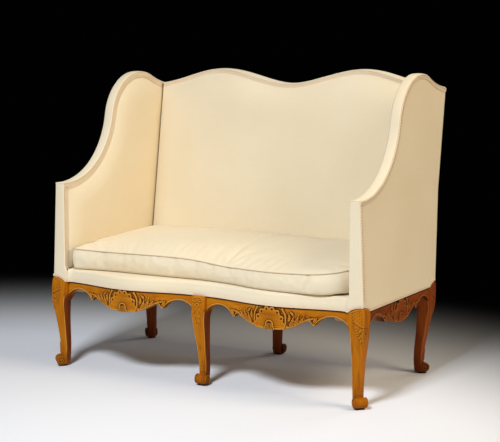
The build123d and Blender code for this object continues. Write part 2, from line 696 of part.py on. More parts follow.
# Corner blocks glued into the four corners of the seat frame
corner_top = RAIL_TOP - STRETCHER_DROP
front_corner = outline(
    (HALF_WIDTH - RAIL_T, BLOCK), (HALF_WIDTH - RAIL_T, BLOCK + CORNER_BLOCK),
    (INNER_FACE - CORNER_BLOCK, REVEAL + RAIL_T), (INNER_FACE, REVEAL + RAIL_T), (INNER_FACE, BLOCK),
)
rear_corner = outline(
    (HALF_WIDTH - RAIL_T, REAR_BLOCK), (HALF_WIDTH - RAIL_T, REAR_BLOCK - CORNER_BLOCK),
    (INNER_FACE - CORNER_BLOCK, REAR_RAIL_FACE - RAIL_T), (INNER_FACE, REAR_RAIL_FACE - RAIL_T),
    (INNER_FACE, REAR_BLOCK),
)
front_glue = along_z(front_corner, corner_top - CORNER_BLOCK_H, corner_top) - front_apron
rear_glue = along_z(rear_corner, corner_top - CORNER_BLOCK_H, corner_top)
nodes["corner_blocks"] = Compound(children=[
    piece.solids()[0] for piece in (front_glue, rear_glue, mirrored(front_glue), mirrored(rear_glue))
])
nodes["joint_pegs"] = Compound(children=[
    peg.solids()[0] for peg in PEGS + [mirrored(peg) for peg in PEGS]
])

# Crest rail over the three stiles
crest_rail = back_slab(0, BACK_FRAME_T)
crest_rail &= along_y(crest_area(CLOTH, CREST_RAIL_BOTTOM, UPPER_HALF), 0, REACH)
crest_rail &= along_x(wing_area(CLOTH, 0), -REACH, REACH) + box(
    -BORDER_INNER, BORDER_INNER, 0, REACH, CREST_RAIL_BOTTOM, REACH)
for x in (-STILE_X, 0, STILE_X):
    crest_rail -= stile_tenon(x, JOINT_GAP)
crest_rail = crest_rail - wing_tenon(JOINT_GAP) - mirrored(wing_tenon(JOINT_GAP))
nodes["crest_rail"] = crest_rail

# Lower back rail, right side
back_rail = back_slab(0, BACK_FRAME_T) & box(
    MIDDLE_STILE_W / 2, STILE_INNER, 0, REACH, TACK_RAIL_Z, TACK_RAIL_Z + TACK_RAIL_H)
for tenon in back_tenons():
    back_rail += tenon
nodes["right_back_rail"] = back_rail
nodes["left_back_rail"] = mirrored(back_rail)

# Arm rail and wing rail, right side, spliced by a half lap where the sweep turns over
in_front_of_back = back_slab(BACK_FRAME_T, REACH)
edge_plank = along_x(wing_band(CLOTH, PLANK_H, 0), PLANK_INNER, UPPER_HALF) & in_front_of_back
lap = PLANK_H * 0.8
splice_z = WING_SPLICE.Y
below = box(0, REACH, -REACH, WING_SPLICE.X + 2 * PLANK_H, 0, splice_z)
lap_zone = box(0, REACH, -REACH, WING_SPLICE.X + 2 * PLANK_H, splice_z - lap, splice_z)
outer_cheek = box(PLANK_MID, REACH, -REACH, REACH, 0, REACH)
arm_part = edge_plank & below
wing_part = edge_plank - below
lapped = edge_plank & lap_zone
arm_rail = arm_part - (lapped & outer_cheek) - post_tenon(JOINT_GAP)
wing_rail = wing_part + (lapped & outer_cheek) + wing_tenon()
nodes["right_arm_rail"] = arm_rail
nodes["left_arm_rail"] = mirrored(arm_rail)
nodes["right_wing_rail"] = wing_rail
nodes["left_wing_rail"] = mirrored(wing_rail)

# Tacking rail low on the side, right
tack_bar = box(PLANK_INNER, UPPER_HALF, POST_DEPTH, REACH, TACK_RAIL_Z, TACK_RAIL_Z + TACK_RAIL_H)
tack_rail = tack_bar & in_front_of_back
for tenon in tack_tenons():
    tack_rail += tenon
nodes["right_tacking_rail"] = tack_rail
nodes["left_tacking_rail"] = mirrored(tack_rail)


# Webbing and hessian of the seat
def seat_zone(inset):
    """Plan of the seat frame drawn in from its face."""
    half = front_zone(inset, BLOCK)
    front = half + mirrored(half)
    front += Pos(0, (REVEAL + inset + BLOCK) / 2) * Rectangle(2 * MIDDLE, BLOCK - REVEAL - inset)
    depth = REAR_BLOCK - BLOCK
    wide = 2 * (HALF_WIDTH - inset)
    main = Pos(0, BLOCK + depth / 2) * Rectangle(wide, depth)
    rear = Pos(0, (REAR_BLOCK + REAR_RAIL_FACE - inset) / 2) * Rectangle(
        2 * INNER_FACE, REAR_RAIL_FACE - inset - REAR_BLOCK)
    return front + main + rear


middle_stile_room = box(
    -MIDDLE_STILE_W / 2 - SOFT_GAP, MIDDLE_STILE_W / 2 + SOFT_GAP,
    back_y(RAIL_TOP, BACK_FRAME_T) - SOFT_GAP, REACH, 0, REACH)
strap_plan = along_z(seat_zone(STRAP_SETBACK), RAIL_TOP, SEAT_HESSIAN_Z)
strap_pitch = 2 * INNER_FACE / SEAT_STRAPS
long_straps = []
for i in range(SEAT_STRAPS):
    x = (i - (SEAT_STRAPS - 1) / 2) * strap_pitch
    strap = box(x - STRAP_W / 2, x + STRAP_W / 2, -REACH, REACH, RAIL_TOP, RAIL_TOP + STRAP_T)
    strap &= strap_plan
    long_straps += strap.solids()
nodes["seat_webbing_lengthwise"] = Compound(children=long_straps)
cross_pitch = (REAR_BLOCK - BLOCK) / SEAT_CROSS_STRAPS
cross_straps = []
for i in range(SEAT_CROSS_STRAPS):
    y = BLOCK + (i + 0.5) * cross_pitch
    strap = box(-REACH, REACH, y - STRAP_W / 2, y + STRAP_W / 2, RAIL_TOP + STRAP_T, SEAT_HESSIAN_Z)
    strap &= strap_plan
    cross_straps += strap.solids()
nodes["seat_webbing_crosswise"] = Compound(children=cross_straps)
seat_hessian = along_z(seat_zone(STRAP_SETBACK), SEAT_HESSIAN_Z, DECK_BOTTOM) - middle_stile_room
nodes["seat_hessian"] = seat_hessian

# Tight seat deck with a rounded front lip that comes down over the rails' rebate
half_front = along_z(front_zone(-LIP, BLOCK), DECK_BOTTOM, DECK_TOP)
half_lip = along_z(front_band(-LIP, LIP + REBATE), APRON_TOP, DECK_BOTTOM + 1)
deck_back = back_y(RAIL_TOP, BACK_FRAME_T) - SOFT_GAP
deck = half_front + half_lip + mirrored(half_front) + mirrored(half_lip)
deck += box(-MIDDLE, MIDDLE, REVEAL - LIP, BLOCK, DECK_BOTTOM, DECK_TOP)
deck += box(-MIDDLE, MIDDLE, REVEAL - LIP, REVEAL + REBATE, APRON_TOP, DECK_BOTTOM + 1)
deck += box(-DECK_HALF, DECK_HALF, BLOCK, deck_back, DECK_BOTTOM, DECK_TOP)
front_rim = deck.edges().filter_by(
    lambda e: abs(e.center().Z - DECK_TOP) < 0.01 and e.center().Y < REVEAL and e.length > BLOCK / 2)
deck = fillet(front_rim, LIP_ROUND)
nodes["seat_deck"] = deck


# Back webbing, hessian and stuffing
def back_column(x0, x1, z0, z1):
    return box(x0, x1, 0, REACH, z0, z1)


back_strap_top = CREST_VALLEY - PLANK_H
back_straps = []
back_pitch = 2 * STILE_INNER / BACK_STRAPS
first_layer = back_slab(BACK_FRAME_T, BACK_FRAME_T + STRAP_T)
second_layer = back_slab(BACK_FRAME_T + STRAP_T, BACK_STRAP_N)
for i in range(BACK_STRAPS):
    x = (i - (BACK_STRAPS - 1) / 2) * back_pitch
    strap = back_column(x - STRAP_W / 2, x + STRAP_W / 2, TACK_RAIL_Z + STRAP_SETBACK, back_strap_top)
    strap &= first_layer
    back_straps += strap.solids()
back_rise = (CREST_RAIL_BOTTOM - TACK_RAIL_Z - TACK_RAIL_H) / (BACK_CROSS_STRAPS + 1)
stile_face = UPPER_HALF - PLANK_T - HESSIAN
for i in range(BACK_CROSS_STRAPS):
    z = TACK_RAIL_Z + TACK_RAIL_H + (i + 1) * back_rise
    strap = second_layer & back_column(-stile_face, stile_face, z - STRAP_W / 2, z + STRAP_W / 2)
    back_straps += strap.solids()
nodes["back_webbing"] = Compound(children=back_straps)
BACK_HALF = PAD_BASE - WING_FLANGE - WING_CROWN - 2 * SOFT_GAP
hessian_outline = along_y(crest_area(CLOTH + BRAID_W, TACK_RAIL_Z + STRAP_SETBACK, BACK_HALF), 0, REACH)
nodes["back_hessian"] = back_slab(BACK_STRAP_N, BACK_PAD_N) & hessian_outline


def back_section(n, inset):
    """Outline of the back's stuffing on the leaning plane n, drawn in by an inset."""
    def rise(z):
        return (z - RAIL_TOP - n * sin(LEAN)) / cos(LEAN)

    half = BACK_HALF - inset
    wave = crest_wave(inset)
    at_end = crest_at(half)
    end = wave @ at_end
    slope = wave % at_end
    peak = rise(CREST_PEAK - inset)
    points = [
        (-half, rise(end.Y)), (-CREST_PEAK_X, peak), (0, rise(CREST_VALLEY - inset)),
        (CREST_PEAK_X, peak), (half, rise(end.Y)),
    ]
    wave = Spline(*points, tangents=[(slope.X, -slope.Y), (1, 0), (1, 0), (1, 0), (slope.X, slope.Y)])
    low = rise(PAD_BOTTOM + inset)
    right = Line(points[-1], (half, low))
    left = Line((-half, low), points[0])
    face = make_face([wave, right, Line((half, low), (-half, low)), left])
    return BACK.offset(n) * face


back_body = back_slab(BACK_PAD_N, BACK_FACE_N)
back_body &= along_y(crest_area(CLOTH, PAD_BOTTOM, BACK_HALF), 0, REACH)
back_swell = loft([
    back_section(BACK_FACE_N, CLOTH + BRAID_W + 2),
    back_section(BACK_FACE_N + BACK_CROWN * 0.66, CLOTH + BRAID_W + BACK_CROWN_RUN * 0.4),
    back_section(BACK_FACE_N + BACK_CROWN, CLOTH + BRAID_W + BACK_CROWN_RUN),
], ruled=True)
nodes["inside_back"] = back_body + back_swell

# Inside wing, right side: hessian on the frame, stuffing with a flat rim for the braid
behind_back = back_slab(BACK_PAD_N, REACH)
wing_hessian = along_x(wing_area(CLOTH + BRAID_W, PAD_BOTTOM, STRAP_SETBACK), PAD_BASE, PLANK_INNER)
wing_hessian &= back_slab(BACK_PAD_N, REACH)
nodes["right_wing_hessian"] = wing_hessian
nodes["left_wing_hessian"] = mirrored(wing_hessian)
flange = along_x(wing_area(CLOTH, PAD_BOTTOM, 0), FLANGE_FACE, PAD_BASE) & behind_back


def wing_section(x, inset):
    """Closed outline of the wing stuffing's swell on one plane."""
    edges = wing_edge(CLOTH + inset)
    bottom = PAD_BOTTOM + inset
    plane = BACK_PAD_N + inset
    first = crossing(edges, lambda point: point.X >= inset)
    run = meets_back(edges, plane) - first
    points = [walk(edges, first + run * i / WING_POINTS) for i in range(WING_POINTS + 1)]
    front_bottom = Vector(inset, bottom)
    rear_bottom = Vector(back_y(bottom, plane), bottom)
    face = make_face([
        Spline(*points), Line(points[-1], rear_bottom), Line(rear_bottom, front_bottom),
        Line(front_bottom, points[0]),
    ])
    return Plane.YZ.offset(x) * face


wing_swell = loft([
    wing_section(FLANGE_FACE, BRAID_W + 2),
    wing_section(FLANGE_FACE - WING_CROWN * 0.66, BRAID_W + WING_CROWN_RUN * 0.4),
    wing_section(FLANGE_FACE - WING_CROWN, BRAID_W + WING_CROWN_RUN),
], ruled=True)
inside_wing = flange + wing_swell
nodes["inside_right_wing"] = inside_wing
nodes["inside_left_wing"] = mirrored(inside_wing)

# Outside covers
behind = back_slab(-CLOTH, REACH)
side_cover = along_y(side_strip(0, CLOTH), 0, REACH) & along_x(wing_area(CLOTH, APRON_TOP, 0), 0, REACH)
side_cover = (side_cover & behind) - right_leg - right_rear
nodes["outside_right_wing"] = side_cover
nodes["outside_left_wing"] = mirrored(side_cover)
back_cover = back_slab(-CLOTH, 0) & along_y(crest_area(CLOTH, APRON_TOP, UPPER_HALF), 0, REACH)
between_wings = box(-BORDER_INNER, BORDER_INNER, 0, REACH, 0, REACH)
back_cover &= along_x(wing_area(CLOTH, 0), -REACH, REACH) + between_wings
for leg in (right_rear, nodes["rear_left_leg"], rear_middle):
    back_cover -= leg
nodes["outside_back"] = back_cover

# Facing on the front of the arm, right side
facing = along_y(side_strip(-REACH / 4, CLOTH), -CLOTH, 0)
facing &= box(BORDER_INNER, REACH, -CLOTH, 0, APRON_TOP, ARM_TOP - CLOTH)
facing -= right_leg
nodes["right_arm_facing"] = facing
nodes["left_arm_facing"] = mirrored(facing)

# Border strips over the wing edges and along the crest
wing_border = along_x(wing_band(0, CLOTH, -CLOTH), BORDER_INNER, BORDER_OUTER) & behind
nodes["right_wing_border"] = wing_border
nodes["left_wing_border"] = mirrored(wing_border)
crest_border = along_y(
    crest_area(0, 0, BORDER_INNER) - crest_area(CLOTH, -REACH / 8, BORDER_INNER), 0, REACH)
crest_border &= back_slab(-CLOTH, BACK_FACE_N + BRAID_T)
crest_border &= box(-REACH, REACH, 0, REACH, CREST_RAIL_BOTTOM, REACH)
nodes["crest_border"] = crest_border

# Braid
arm_drop = box(0, REACH, 0, BRAID_W, KNEE_ARCH_Z + KNEE_PROUD, ARM_TOP - CLOTH - BRAID_W)
edge_braid = wing_band(CLOTH, BRAID_W, 0)
outer_braid = along_x(edge_braid, BORDER_OUTER, BORDER_OUTER + BRAID_T) & behind
outer_braid += along_y(side_strip(CLOTH, CLOTH + BRAID_T), 0, REACH) & arm_drop
inner_braid = along_x(edge_braid, BORDER_INNER, FLANGE_FACE) & back_slab(BACK_FACE_N + BACK_CROWN, REACH)
inner_braid += box(BORDER_INNER, FLANGE_FACE, 0, BRAID_W, PAD_BOTTOM, ARM_TOP - CLOTH - BRAID_W)
base_side = along_y(side_strip(CLOTH, CLOTH + BRAID_T), BLOCK, REAR_BLOCK)
base_side &= box(0, REACH, BLOCK, REAR_BLOCK, APRON_TOP, APRON_TOP + BRAID_W)
right_braid = [outer_braid.solids()[0], inner_braid.solids()[0], base_side.solids()[0]]
nodes["right_side_braid"] = Compound(children=right_braid)
nodes["left_side_braid"] = Compound(children=[mirrored(piece).solids()[0] for piece in right_braid])
crest_strip = along_y(
    crest_area(CLOTH, 0, BACK_HALF) - crest_area(CLOTH + BRAID_W, -REACH / 8, BACK_HALF), 0, REACH)
crest_strip &= box(-REACH, REACH, 0, REACH, CREST_RAIL_BOTTOM, REACH)
crest_front = crest_strip & back_slab(BACK_FACE_N, BACK_FACE_N + BRAID_T)
crest_rear = crest_strip & back_slab(-CLOTH - BRAID_T, -CLOTH)
nodes["crest_braid"] = Compound(children=[crest_front.solids()[0], crest_rear.solids()[0]])
base_half = along_z(front_band(-LIP - BRAID_T, BRAID_T), APRON_TOP, APRON_TOP + BRAID_W)
base_front = base_half + mirrored(base_half)
base_front += box(-MIDDLE, MIDDLE, REVEAL - LIP - BRAID_T, REVEAL - LIP, APRON_TOP, APRON_TOP + BRAID_W)
nodes["seat_base_braid"] = base_front

# Loose cushion: a boxed cushion with a crowned top, sides drawn in between the corners
cushion_half = FLANGE_FACE - WING_CROWN - CUSHION_SIDE_GAP
cushion_low = DECK_TOP + CUSHION_GAP
cushion_rear = back_y(cushion_low, BACK_FACE_N + BACK_CROWN) - CUSHION_BACK_GAP
cushion_front = REVEAL - LIP - CUSHION_OVERHANG


def cushion_outline(inset):
    """Plan of the cushion drawn in by an inset: bowed front in two halves, other sides drawn in."""
    half = cushion_half - inset
    rear = cushion_rear - inset
    front = cushion_front + inset
    bulge = front - BOW
    centre = front - BOW * 0.25
    middle = (rear + front) / 2
    return make_face([
        ThreePointArc((-half, rear), (0, rear - DRAW_IN), (half, rear)),
        ThreePointArc((half, rear), (half - DRAW_IN, middle), (half, front)),
        ThreePointArc((half, front), (half * 0.52, bulge), (0, centre)),
        ThreePointArc((0, centre), (-half * 0.52, bulge), (-half, front)),
        ThreePointArc((-half, front), (-half + DRAW_IN, middle), (-half, rear)),
    ])


def cushion_level(z, inset):
    return Plane.XY.offset(z) * cushion_outline(inset)


pipe_low = cushion_low + PIPING_D  # top of the lower piping
pipe_high = pipe_low + BOXING  # underside of the upper piping
top_edge = pipe_high + PIPING_D


def crown_levels(shrink, start_inset):
    """Stacked outlines of the crowned top, drawn in by a shrink all over."""
    levels = [(top_edge, start_inset)]
    for t in (0.2, 0.45, 0.7, 1.0):
        rise = (CUSHION_CROWN - shrink) * (1 - (1 - t) ** 2)
        levels.append((top_edge + rise, start_inset + CROWN_RUN * t))
    return [cushion_level(z, inset) for z, inset in levels]


def boxing_body(shrink):
    """Boxing between the two cords, swelling a little at half height."""
    middle = (pipe_low + pipe_high) / 2
    sections = [(pipe_low, PIPING_D / 2 + shrink), (middle, shrink), (pipe_high, PIPING_D / 2 + shrink)]
    return loft([cushion_level(z, inset) for z, inset in sections], ruled=True)


def piping(z):
    """One cord, lying between two panels."""
    return along_z(cushion_outline(0) - cushion_outline(PIPING_D), z, z + PIPING_D)


top_outer = loft(crown_levels(0, PIPING_D / 2), ruled=True)
top_inner = loft(crown_levels(COVER_T, PIPING_D / 2 + 2 * COVER_T), ruled=True)
nodes["cushion_top_panel"] = top_outer - top_inner
nodes["cushion_boxing"] = boxing_body(0) - boxing_body(COVER_T)
nodes["cushion_bottom_panel"] = along_z(cushion_outline(PIPING_D), cushion_low, cushion_low + COVER_T)
nodes["cushion_piping"] = Compound(children=[piping(z).solids()[0] for z in (cushion_low, pipe_high)])
inner_inset = PIPING_D + SOFT_GAP
filling_low = cushion_low + COVER_T + SOFT_GAP
filling = along_z(cushion_outline(inner_inset), filling_low, top_edge)
filling += loft(crown_levels(COVER_T + SOFT_GAP, inner_inset + COVER_T), ruled=True)
nodes["cushion_filling"] = filling

# The part's origin is under the middle of its box
everything = Compound(children=[shape.moved(Location()) for shape in nodes.values()])
bounds = everything.bounding_box()
shift = Pos(0, -(bounds.min.Y + bounds.max.Y) / 2, 0)
os.makedirs("parts", exist_ok=True)
for name, shape in nodes.items():
    export_step(shift * shape, "parts/" + name + ".step")
print("origin moved in y by", round(-(bounds.min.Y + bounds.max.Y) / 2, 3), "size", bounds.size)
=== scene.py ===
# %% [markdown]
# # A winged settee, dressed round its solids
# The solids give every place and size. This notebook puts cloth, stuffing, braid and carving round them,
# one kind of piece at a time, and ends with the loose cushion.
# All measures are in millimetres in the maker's own axes: x across the seat, y to the back, z up,
# with y = 0 on the front face of the leg blocks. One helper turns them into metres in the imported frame.

# %% Load the solids
import functools
import math
import bmesh
import bpy
import numpy as np
from mathutils.bvhtree import BVHTree
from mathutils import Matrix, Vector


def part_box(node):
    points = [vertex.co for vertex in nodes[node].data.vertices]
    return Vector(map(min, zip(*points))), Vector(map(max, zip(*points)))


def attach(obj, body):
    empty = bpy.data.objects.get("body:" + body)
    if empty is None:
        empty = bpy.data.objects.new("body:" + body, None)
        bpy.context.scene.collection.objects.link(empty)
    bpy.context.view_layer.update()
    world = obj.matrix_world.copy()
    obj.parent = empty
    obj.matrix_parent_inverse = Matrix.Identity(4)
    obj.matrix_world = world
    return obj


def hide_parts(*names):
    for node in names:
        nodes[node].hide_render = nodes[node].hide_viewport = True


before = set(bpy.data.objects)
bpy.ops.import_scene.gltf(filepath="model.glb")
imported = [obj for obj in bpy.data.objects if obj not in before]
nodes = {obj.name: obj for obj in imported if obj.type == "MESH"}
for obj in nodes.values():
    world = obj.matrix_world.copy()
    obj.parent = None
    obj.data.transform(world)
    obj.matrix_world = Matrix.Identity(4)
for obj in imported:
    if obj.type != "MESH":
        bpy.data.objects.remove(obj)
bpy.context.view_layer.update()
scene = bpy.context.scene
MM = 0.001
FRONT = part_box("right_arm_facing")[1].y  # front face of the leg blocks, in metres
HANDS = ((1, "right"), (-1, "left"))  # sign of x and name of each side


def place(points):
    """Millimetres in the maker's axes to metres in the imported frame."""
    moved = np.array(points, float).reshape(-1, 3) * MM
    moved[:, 1] += FRONT
    return moved


print("solids:", len(nodes), "front face at", round(FRONT, 4))

# %% [markdown]
# ## Camera, floor and light
# The camera was solved from the legs and the crest: a long lens, a little above the crest, thirty degrees to
# the right. The floor is a plain pale disc, so any other view has nothing in its way; it fades out as painted
# fall-off of light.
# The shadow of the seat's front edge falls a hand's breadth behind it, so the main lamp stands in front
# at half a right angle, near the camera. A weaker one on the right lights the side, another one the back.
# The world gives the rest, and is dark only where the camera looks at it.

# %% Camera
SENSOR_WIDTH = 36.0
LENS = 93.8
CAMERA_SPOT = (2.321, -4.012, 1.129)
CAMERA_DIP = 7.33  # degrees below level
CAMERA_TURN = 29.96  # degrees to the right
camera_data = bpy.data.cameras.new("camera")
camera_data.sensor_width = SENSOR_WIDTH
camera_data.lens = LENS
camera = bpy.data.objects.new("camera", camera_data)
camera.location = CAMERA_SPOT
camera.rotation_euler = (math.radians(90 - CAMERA_DIP), 0.0, math.radians(CAMERA_TURN))
scene.collection.objects.link(camera)
scene.camera = camera
scene.view_settings.view_transform = "Standard"
print("camera with a lens of", LENS, "mm")

# %% Lamps


def soft_lamp(name, spot, aim, size, watts, tint, spread=180.0):
    """Square lamp that looks at a point, with its light kept within a spread in degrees."""
    lamp = bpy.data.lights.new(name, "AREA")
    lamp.shape = "SQUARE"
    lamp.size = size
    lamp.energy = watts
    lamp.color = tint
    lamp.spread = math.radians(spread)
    stand = bpy.data.objects.new(name, lamp)
    way = np.array(aim, float) - np.array(spot, float)
    stand.location = spot
    flat = math.hypot(way[0], way[1])
    stand.rotation_euler = (math.atan2(flat, -way[2]), 0.0, math.atan2(-way[0], way[1]))
    scene.collection.objects.link(stand)


PAPER_WHITE = (0.945, 1.0, 1.08)
CANDLE_WHITE = (1.0, 0.83, 0.60)
soft_lamp(
    "front_lamp", spot=(0.4, -3.4, 3.7), aim=(0.0, -0.4, 0.2),
    size=0.8, watts=45.0, tint=PAPER_WHITE, spread=90.0)
soft_lamp("side_lamp", spot=(3.4, 0.0, 3.0), aim=(0.0, 0.0, 0.5), size=1.8, watts=92.0, tint=CANDLE_WHITE)
soft_lamp("rear_lamp", spot=(1.6, 3.4, 2.9), aim=(0.0, 0.2, 0.7), size=1.8, watts=24.0, tint=PAPER_WHITE)
print("lamps:", len(bpy.data.lights))

# %% [markdown]
# ## A small language for finishes
# Shader maths reads best as sums. One class wraps a socket and gives it the usual operators,
# and one method of the finish makes any other node: its settings first, then the values of its sockets.

# %% Sockets that add and multiply


class Shade:
    """A socket of a finish that can be used in sums."""

    def __init__(self, finish, socket):
        self.finish = finish
        self.socket = socket

    def sum_with(self, operation, first, second):
        return self.finish.node("ShaderNodeMath", {"operation": operation}, {0: first, 1: second})

    def __add__(self, other):
        return self.sum_with("ADD", self, other)

    def __radd__(self, other):
        return self.sum_with("ADD", other, self)

    def __sub__(self, other):
        return self.sum_with("SUBTRACT", self, other)

    def __rsub__(self, other):
        return self.sum_with("SUBTRACT", other, self)

    def __mul__(self, other):
        return self.sum_with("MULTIPLY", self, other)

    def __rmul__(self, other):
        return self.sum_with("MULTIPLY", other, self)

    def __lt__(self, other):
        return self.sum_with("LESS_THAN", self, other)


print("sockets can be added, multiplied and compared")

# %% A finish and its nodes
OBJECT_PLACE = 3  # output of a Texture Coordinate node: Object
ATTRIBUTE_NUMBER = 2  # output of an Attribute node: its number
MIX_COLOURS = (6, 7)  # inputs of a Mix node: its two colours
MIX_RESULT = 2  # output of a Mix node: the mixed colour


class Finish:
    """One material while it is being made."""

    def __init__(self, name):
        self.material = bpy.data.materials.new(name)
        self.material.use_nodes = True
        self.tree = self.material.node_tree
        self.shader = self.tree.nodes["Principled BSDF"]

    def node(self, kind, settings, inputs, output=0):
        made = self.tree.nodes.new(kind)
        for key, value in settings.items():
            if key == "stops":
                ramp = made.color_ramp
                for spot, colour in value[2:]:
                    ramp.elements.new(spot)
                for element, (spot, colour) in zip(ramp.elements, sorted(value)):
                    element.position = spot
                    element.color = (*colour, 1.0)
            else:
                setattr(made, key, value)
        for key, value in inputs.items():
            socket = made.inputs[key]
            if isinstance(value, Shade):
                self.tree.links.new(value.socket, socket)
            else:
                socket.default_value = value
        return Shade(self, made.outputs[output])

    def mix(self, share, first, second):
        """Colour between two colours."""
        inputs = {0: share}
        for key, colour in zip(MIX_COLOURS, (first, second)):
            inputs[key] = colour if isinstance(colour, Shade) else (*colour, 1.0)
        return self.node("ShaderNodeMix", {"data_type": "RGBA"}, inputs, MIX_RESULT)

    def feed(self, **sockets):
        """Values and links of the surface shader, by socket name."""
        for key, value in sockets.items():
            socket = self.shader.inputs[key.replace("_", " ")]
            if isinstance(value, Shade):
                self.tree.links.new(value.socket, socket)
            elif isinstance(value, tuple):
                socket.default_value = (*value, 1.0)
            else:
                socket.default_value = value

    def bump(self, height, strength, distance):
        """Surface normal from a height."""
        inputs = {"Height": height, "Strength": strength, "Distance": distance}
        return self.node("ShaderNodeBump", {}, inputs)

    def stretched(self, scale):
        """Object coordinates, stretched along the axes."""
        coordinates = self.node("ShaderNodeTexCoord", {}, {}, OBJECT_PLACE)
        return self.node("ShaderNodeMapping", {}, {"Vector": coordinates, "Scale": scale})

    def noise(self, scale, fineness, detail=2.0):
        """Grey noise on stretched object coordinates."""
        inputs = {"Vector": self.stretched(scale), "Scale": fineness, "Detail": detail}
        return self.node("ShaderNodeTexNoise", {}, inputs)

    def ramp(self, value, stops):
        return self.node("ShaderNodeValToRGB", {"stops": stops}, {0: value})

    def axes(self):
        """x, y and z of the object coordinates."""
        coordinates = self.node("ShaderNodeTexCoord", {}, {}, OBJECT_PLACE)
        split = self.node("ShaderNodeSeparateXYZ", {}, {0: coordinates})
        outputs = split.socket.node.outputs
        return [Shade(self, outputs[i]) for i in range(3)]

    def wave(self, value, length):
        """Sine of a length in metres, between -1 and 1."""
        turned = value * (2 * math.pi / length)
        return self.node("ShaderNodeMath", {"operation": "SINE"}, {0: turned})


print("finishes can be written as sums")

# %% [markdown]
# ## Floor and world
# The settee stands on a pale floor that goes dark behind it: a painted fall-off of the light, centred in
# front of the settee. A square floor would show its edge, and a backdrop would hide the settee from behind,
# so the floor is a disc that mixes its own colour with clear towards its edge, by the distance from its
# middle.

# %% Floor disc
FLOOR_RADIUS = 6.0
FLOOR_SIDES = 128
FLOOR_LIGHT_MIDDLE = (-0.35, -1.7)
FLOOR_LIGHT_FALLOFF = (1.8, 3.5)  # start and end of the painted fall-off of light, from the middle
FLOOR_COLOUR = (0.85, 0.86, 0.885)
FLOOR_ROUGH = 0.7


def make_floor():
    disc = bmesh.new()
    bmesh.ops.create_circle(disc, cap_ends=True, segments=FLOOR_SIDES, radius=FLOOR_RADIUS)
    mesh = bpy.data.meshes.new("floor")
    disc.to_mesh(mesh)
    disc.free()
    finish = Finish("pale_floor")
    x, y, z = finish.axes()
    # Painted fall-off of light: the floor fades to clear, and so to the dark world, away from a middle in
    # front of the settee.
    across = x - FLOOR_LIGHT_MIDDLE[0]
    along = y - FLOOR_LIGHT_MIDDLE[1]
    away = finish.node("ShaderNodeMath", {"operation": "SQRT"}, {0: across * across + along * along})
    near, far = FLOOR_LIGHT_FALLOFF
    kept = finish.node(
        "ShaderNodeMapRange", {"interpolation_type": "SMOOTHSTEP"}, {0: away, 1: far, 2: near})
    painted_falloff = 1.0 - kept * kept
    finish.feed(Base_Color=FLOOR_COLOUR, Roughness=FLOOR_ROUGH)
    clear = finish.tree.nodes.new("ShaderNodeBsdfTransparent")
    blend = finish.tree.nodes.new("ShaderNodeMixShader")
    finish.tree.links.new(painted_falloff.socket, blend.inputs[0])
    finish.tree.links.new(finish.shader.outputs[0], blend.inputs[1])
    finish.tree.links.new(clear.outputs[0], blend.inputs[2])
    finish.tree.links.new(blend.outputs[0], finish.tree.nodes["Material Output"].inputs[0])
    mesh.materials.append(finish.material)
    floor = bpy.data.objects.new("floor", mesh)
    scene.collection.objects.link(floor)


make_floor()
print("floor of", FLOOR_RADIUS, "m radius")

# %% World
ROOM_TINT = (1.0, 0.97, 0.93)
ROOM_LIGHT = 0.12
NIGHT = (0.0004, 0.0004, 0.0006)


def make_world():
    world = bpy.data.worlds.new("studio")
    scene.world = world
    world.use_nodes = True
    tree = world.node_tree
    room = tree.nodes["Background"]
    room.inputs["Color"].default_value = (*ROOM_TINT, 1.0)
    room.inputs["Strength"].default_value = ROOM_LIGHT
    dark = tree.nodes.new("ShaderNodeBackground")
    dark.inputs["Color"].default_value = (*NIGHT, 1.0)
    seen = tree.nodes.new("ShaderNodeLightPath")
    blend = tree.nodes.new("ShaderNodeMixShader")
    tree.links.new(seen.outputs["Is Camera Ray"], blend.inputs[0])
    tree.links.new(room.outputs[0], blend.inputs[1])
    tree.links.new(dark.outputs[0], blend.inputs[2])
    tree.links.new(blend.outputs[0], tree.nodes["World Output"].inputs[0])


make_world()
print("room light", ROOM_LIGHT)

# %% [markdown]
# ## Cream cloth and its relations
# The cover is a plain weave: threads across and threads up, a little uneven, in a warm ivory.
# The braid is the same yarn, a shade pinker. Webbing and hessian are jute, coarser and brown.
# The threads are sines of the object coordinates, x + y for one set and y + z for the other,
# so they run the right way on fronts, sides and tops with no unwrapping.

# %% Woven finishes
THREAD_BUMP = 0.35
CLOTH_SHINE = 0.25
FUZZ_ROUGH = 0.5


def woven(name, pale, deep, thread, relief, rough, fuzz):
    """Plain weave with slubs: two sets of threads, colour that wanders between two tones."""
    finish = Finish(name)
    x, y, z = finish.axes()
    weft = finish.wave(x + y, thread)
    warp = finish.wave(y + z, thread)
    cloudy = finish.noise((1, 1, 1), fineness=3.2, detail=3.0)
    slubs = finish.noise((1, 1, 14), fineness=46.0, detail=2.0)
    share = 0.62 * cloudy + 0.30 * slubs + 0.05 * weft * warp
    tones = finish.ramp(share, [(0.30, deep), (0.62, pale)])
    height = weft * warp + 0.8 * slubs
    finish.feed(Base_Color=tones, Roughness=rough, Sheen_Weight=fuzz, Sheen_Roughness=FUZZ_ROUGH)
    finish.feed(Normal=finish.bump(height, THREAD_BUMP, relief * MM), Specular_IOR_Level=CLOTH_SHINE)
    return finish.material


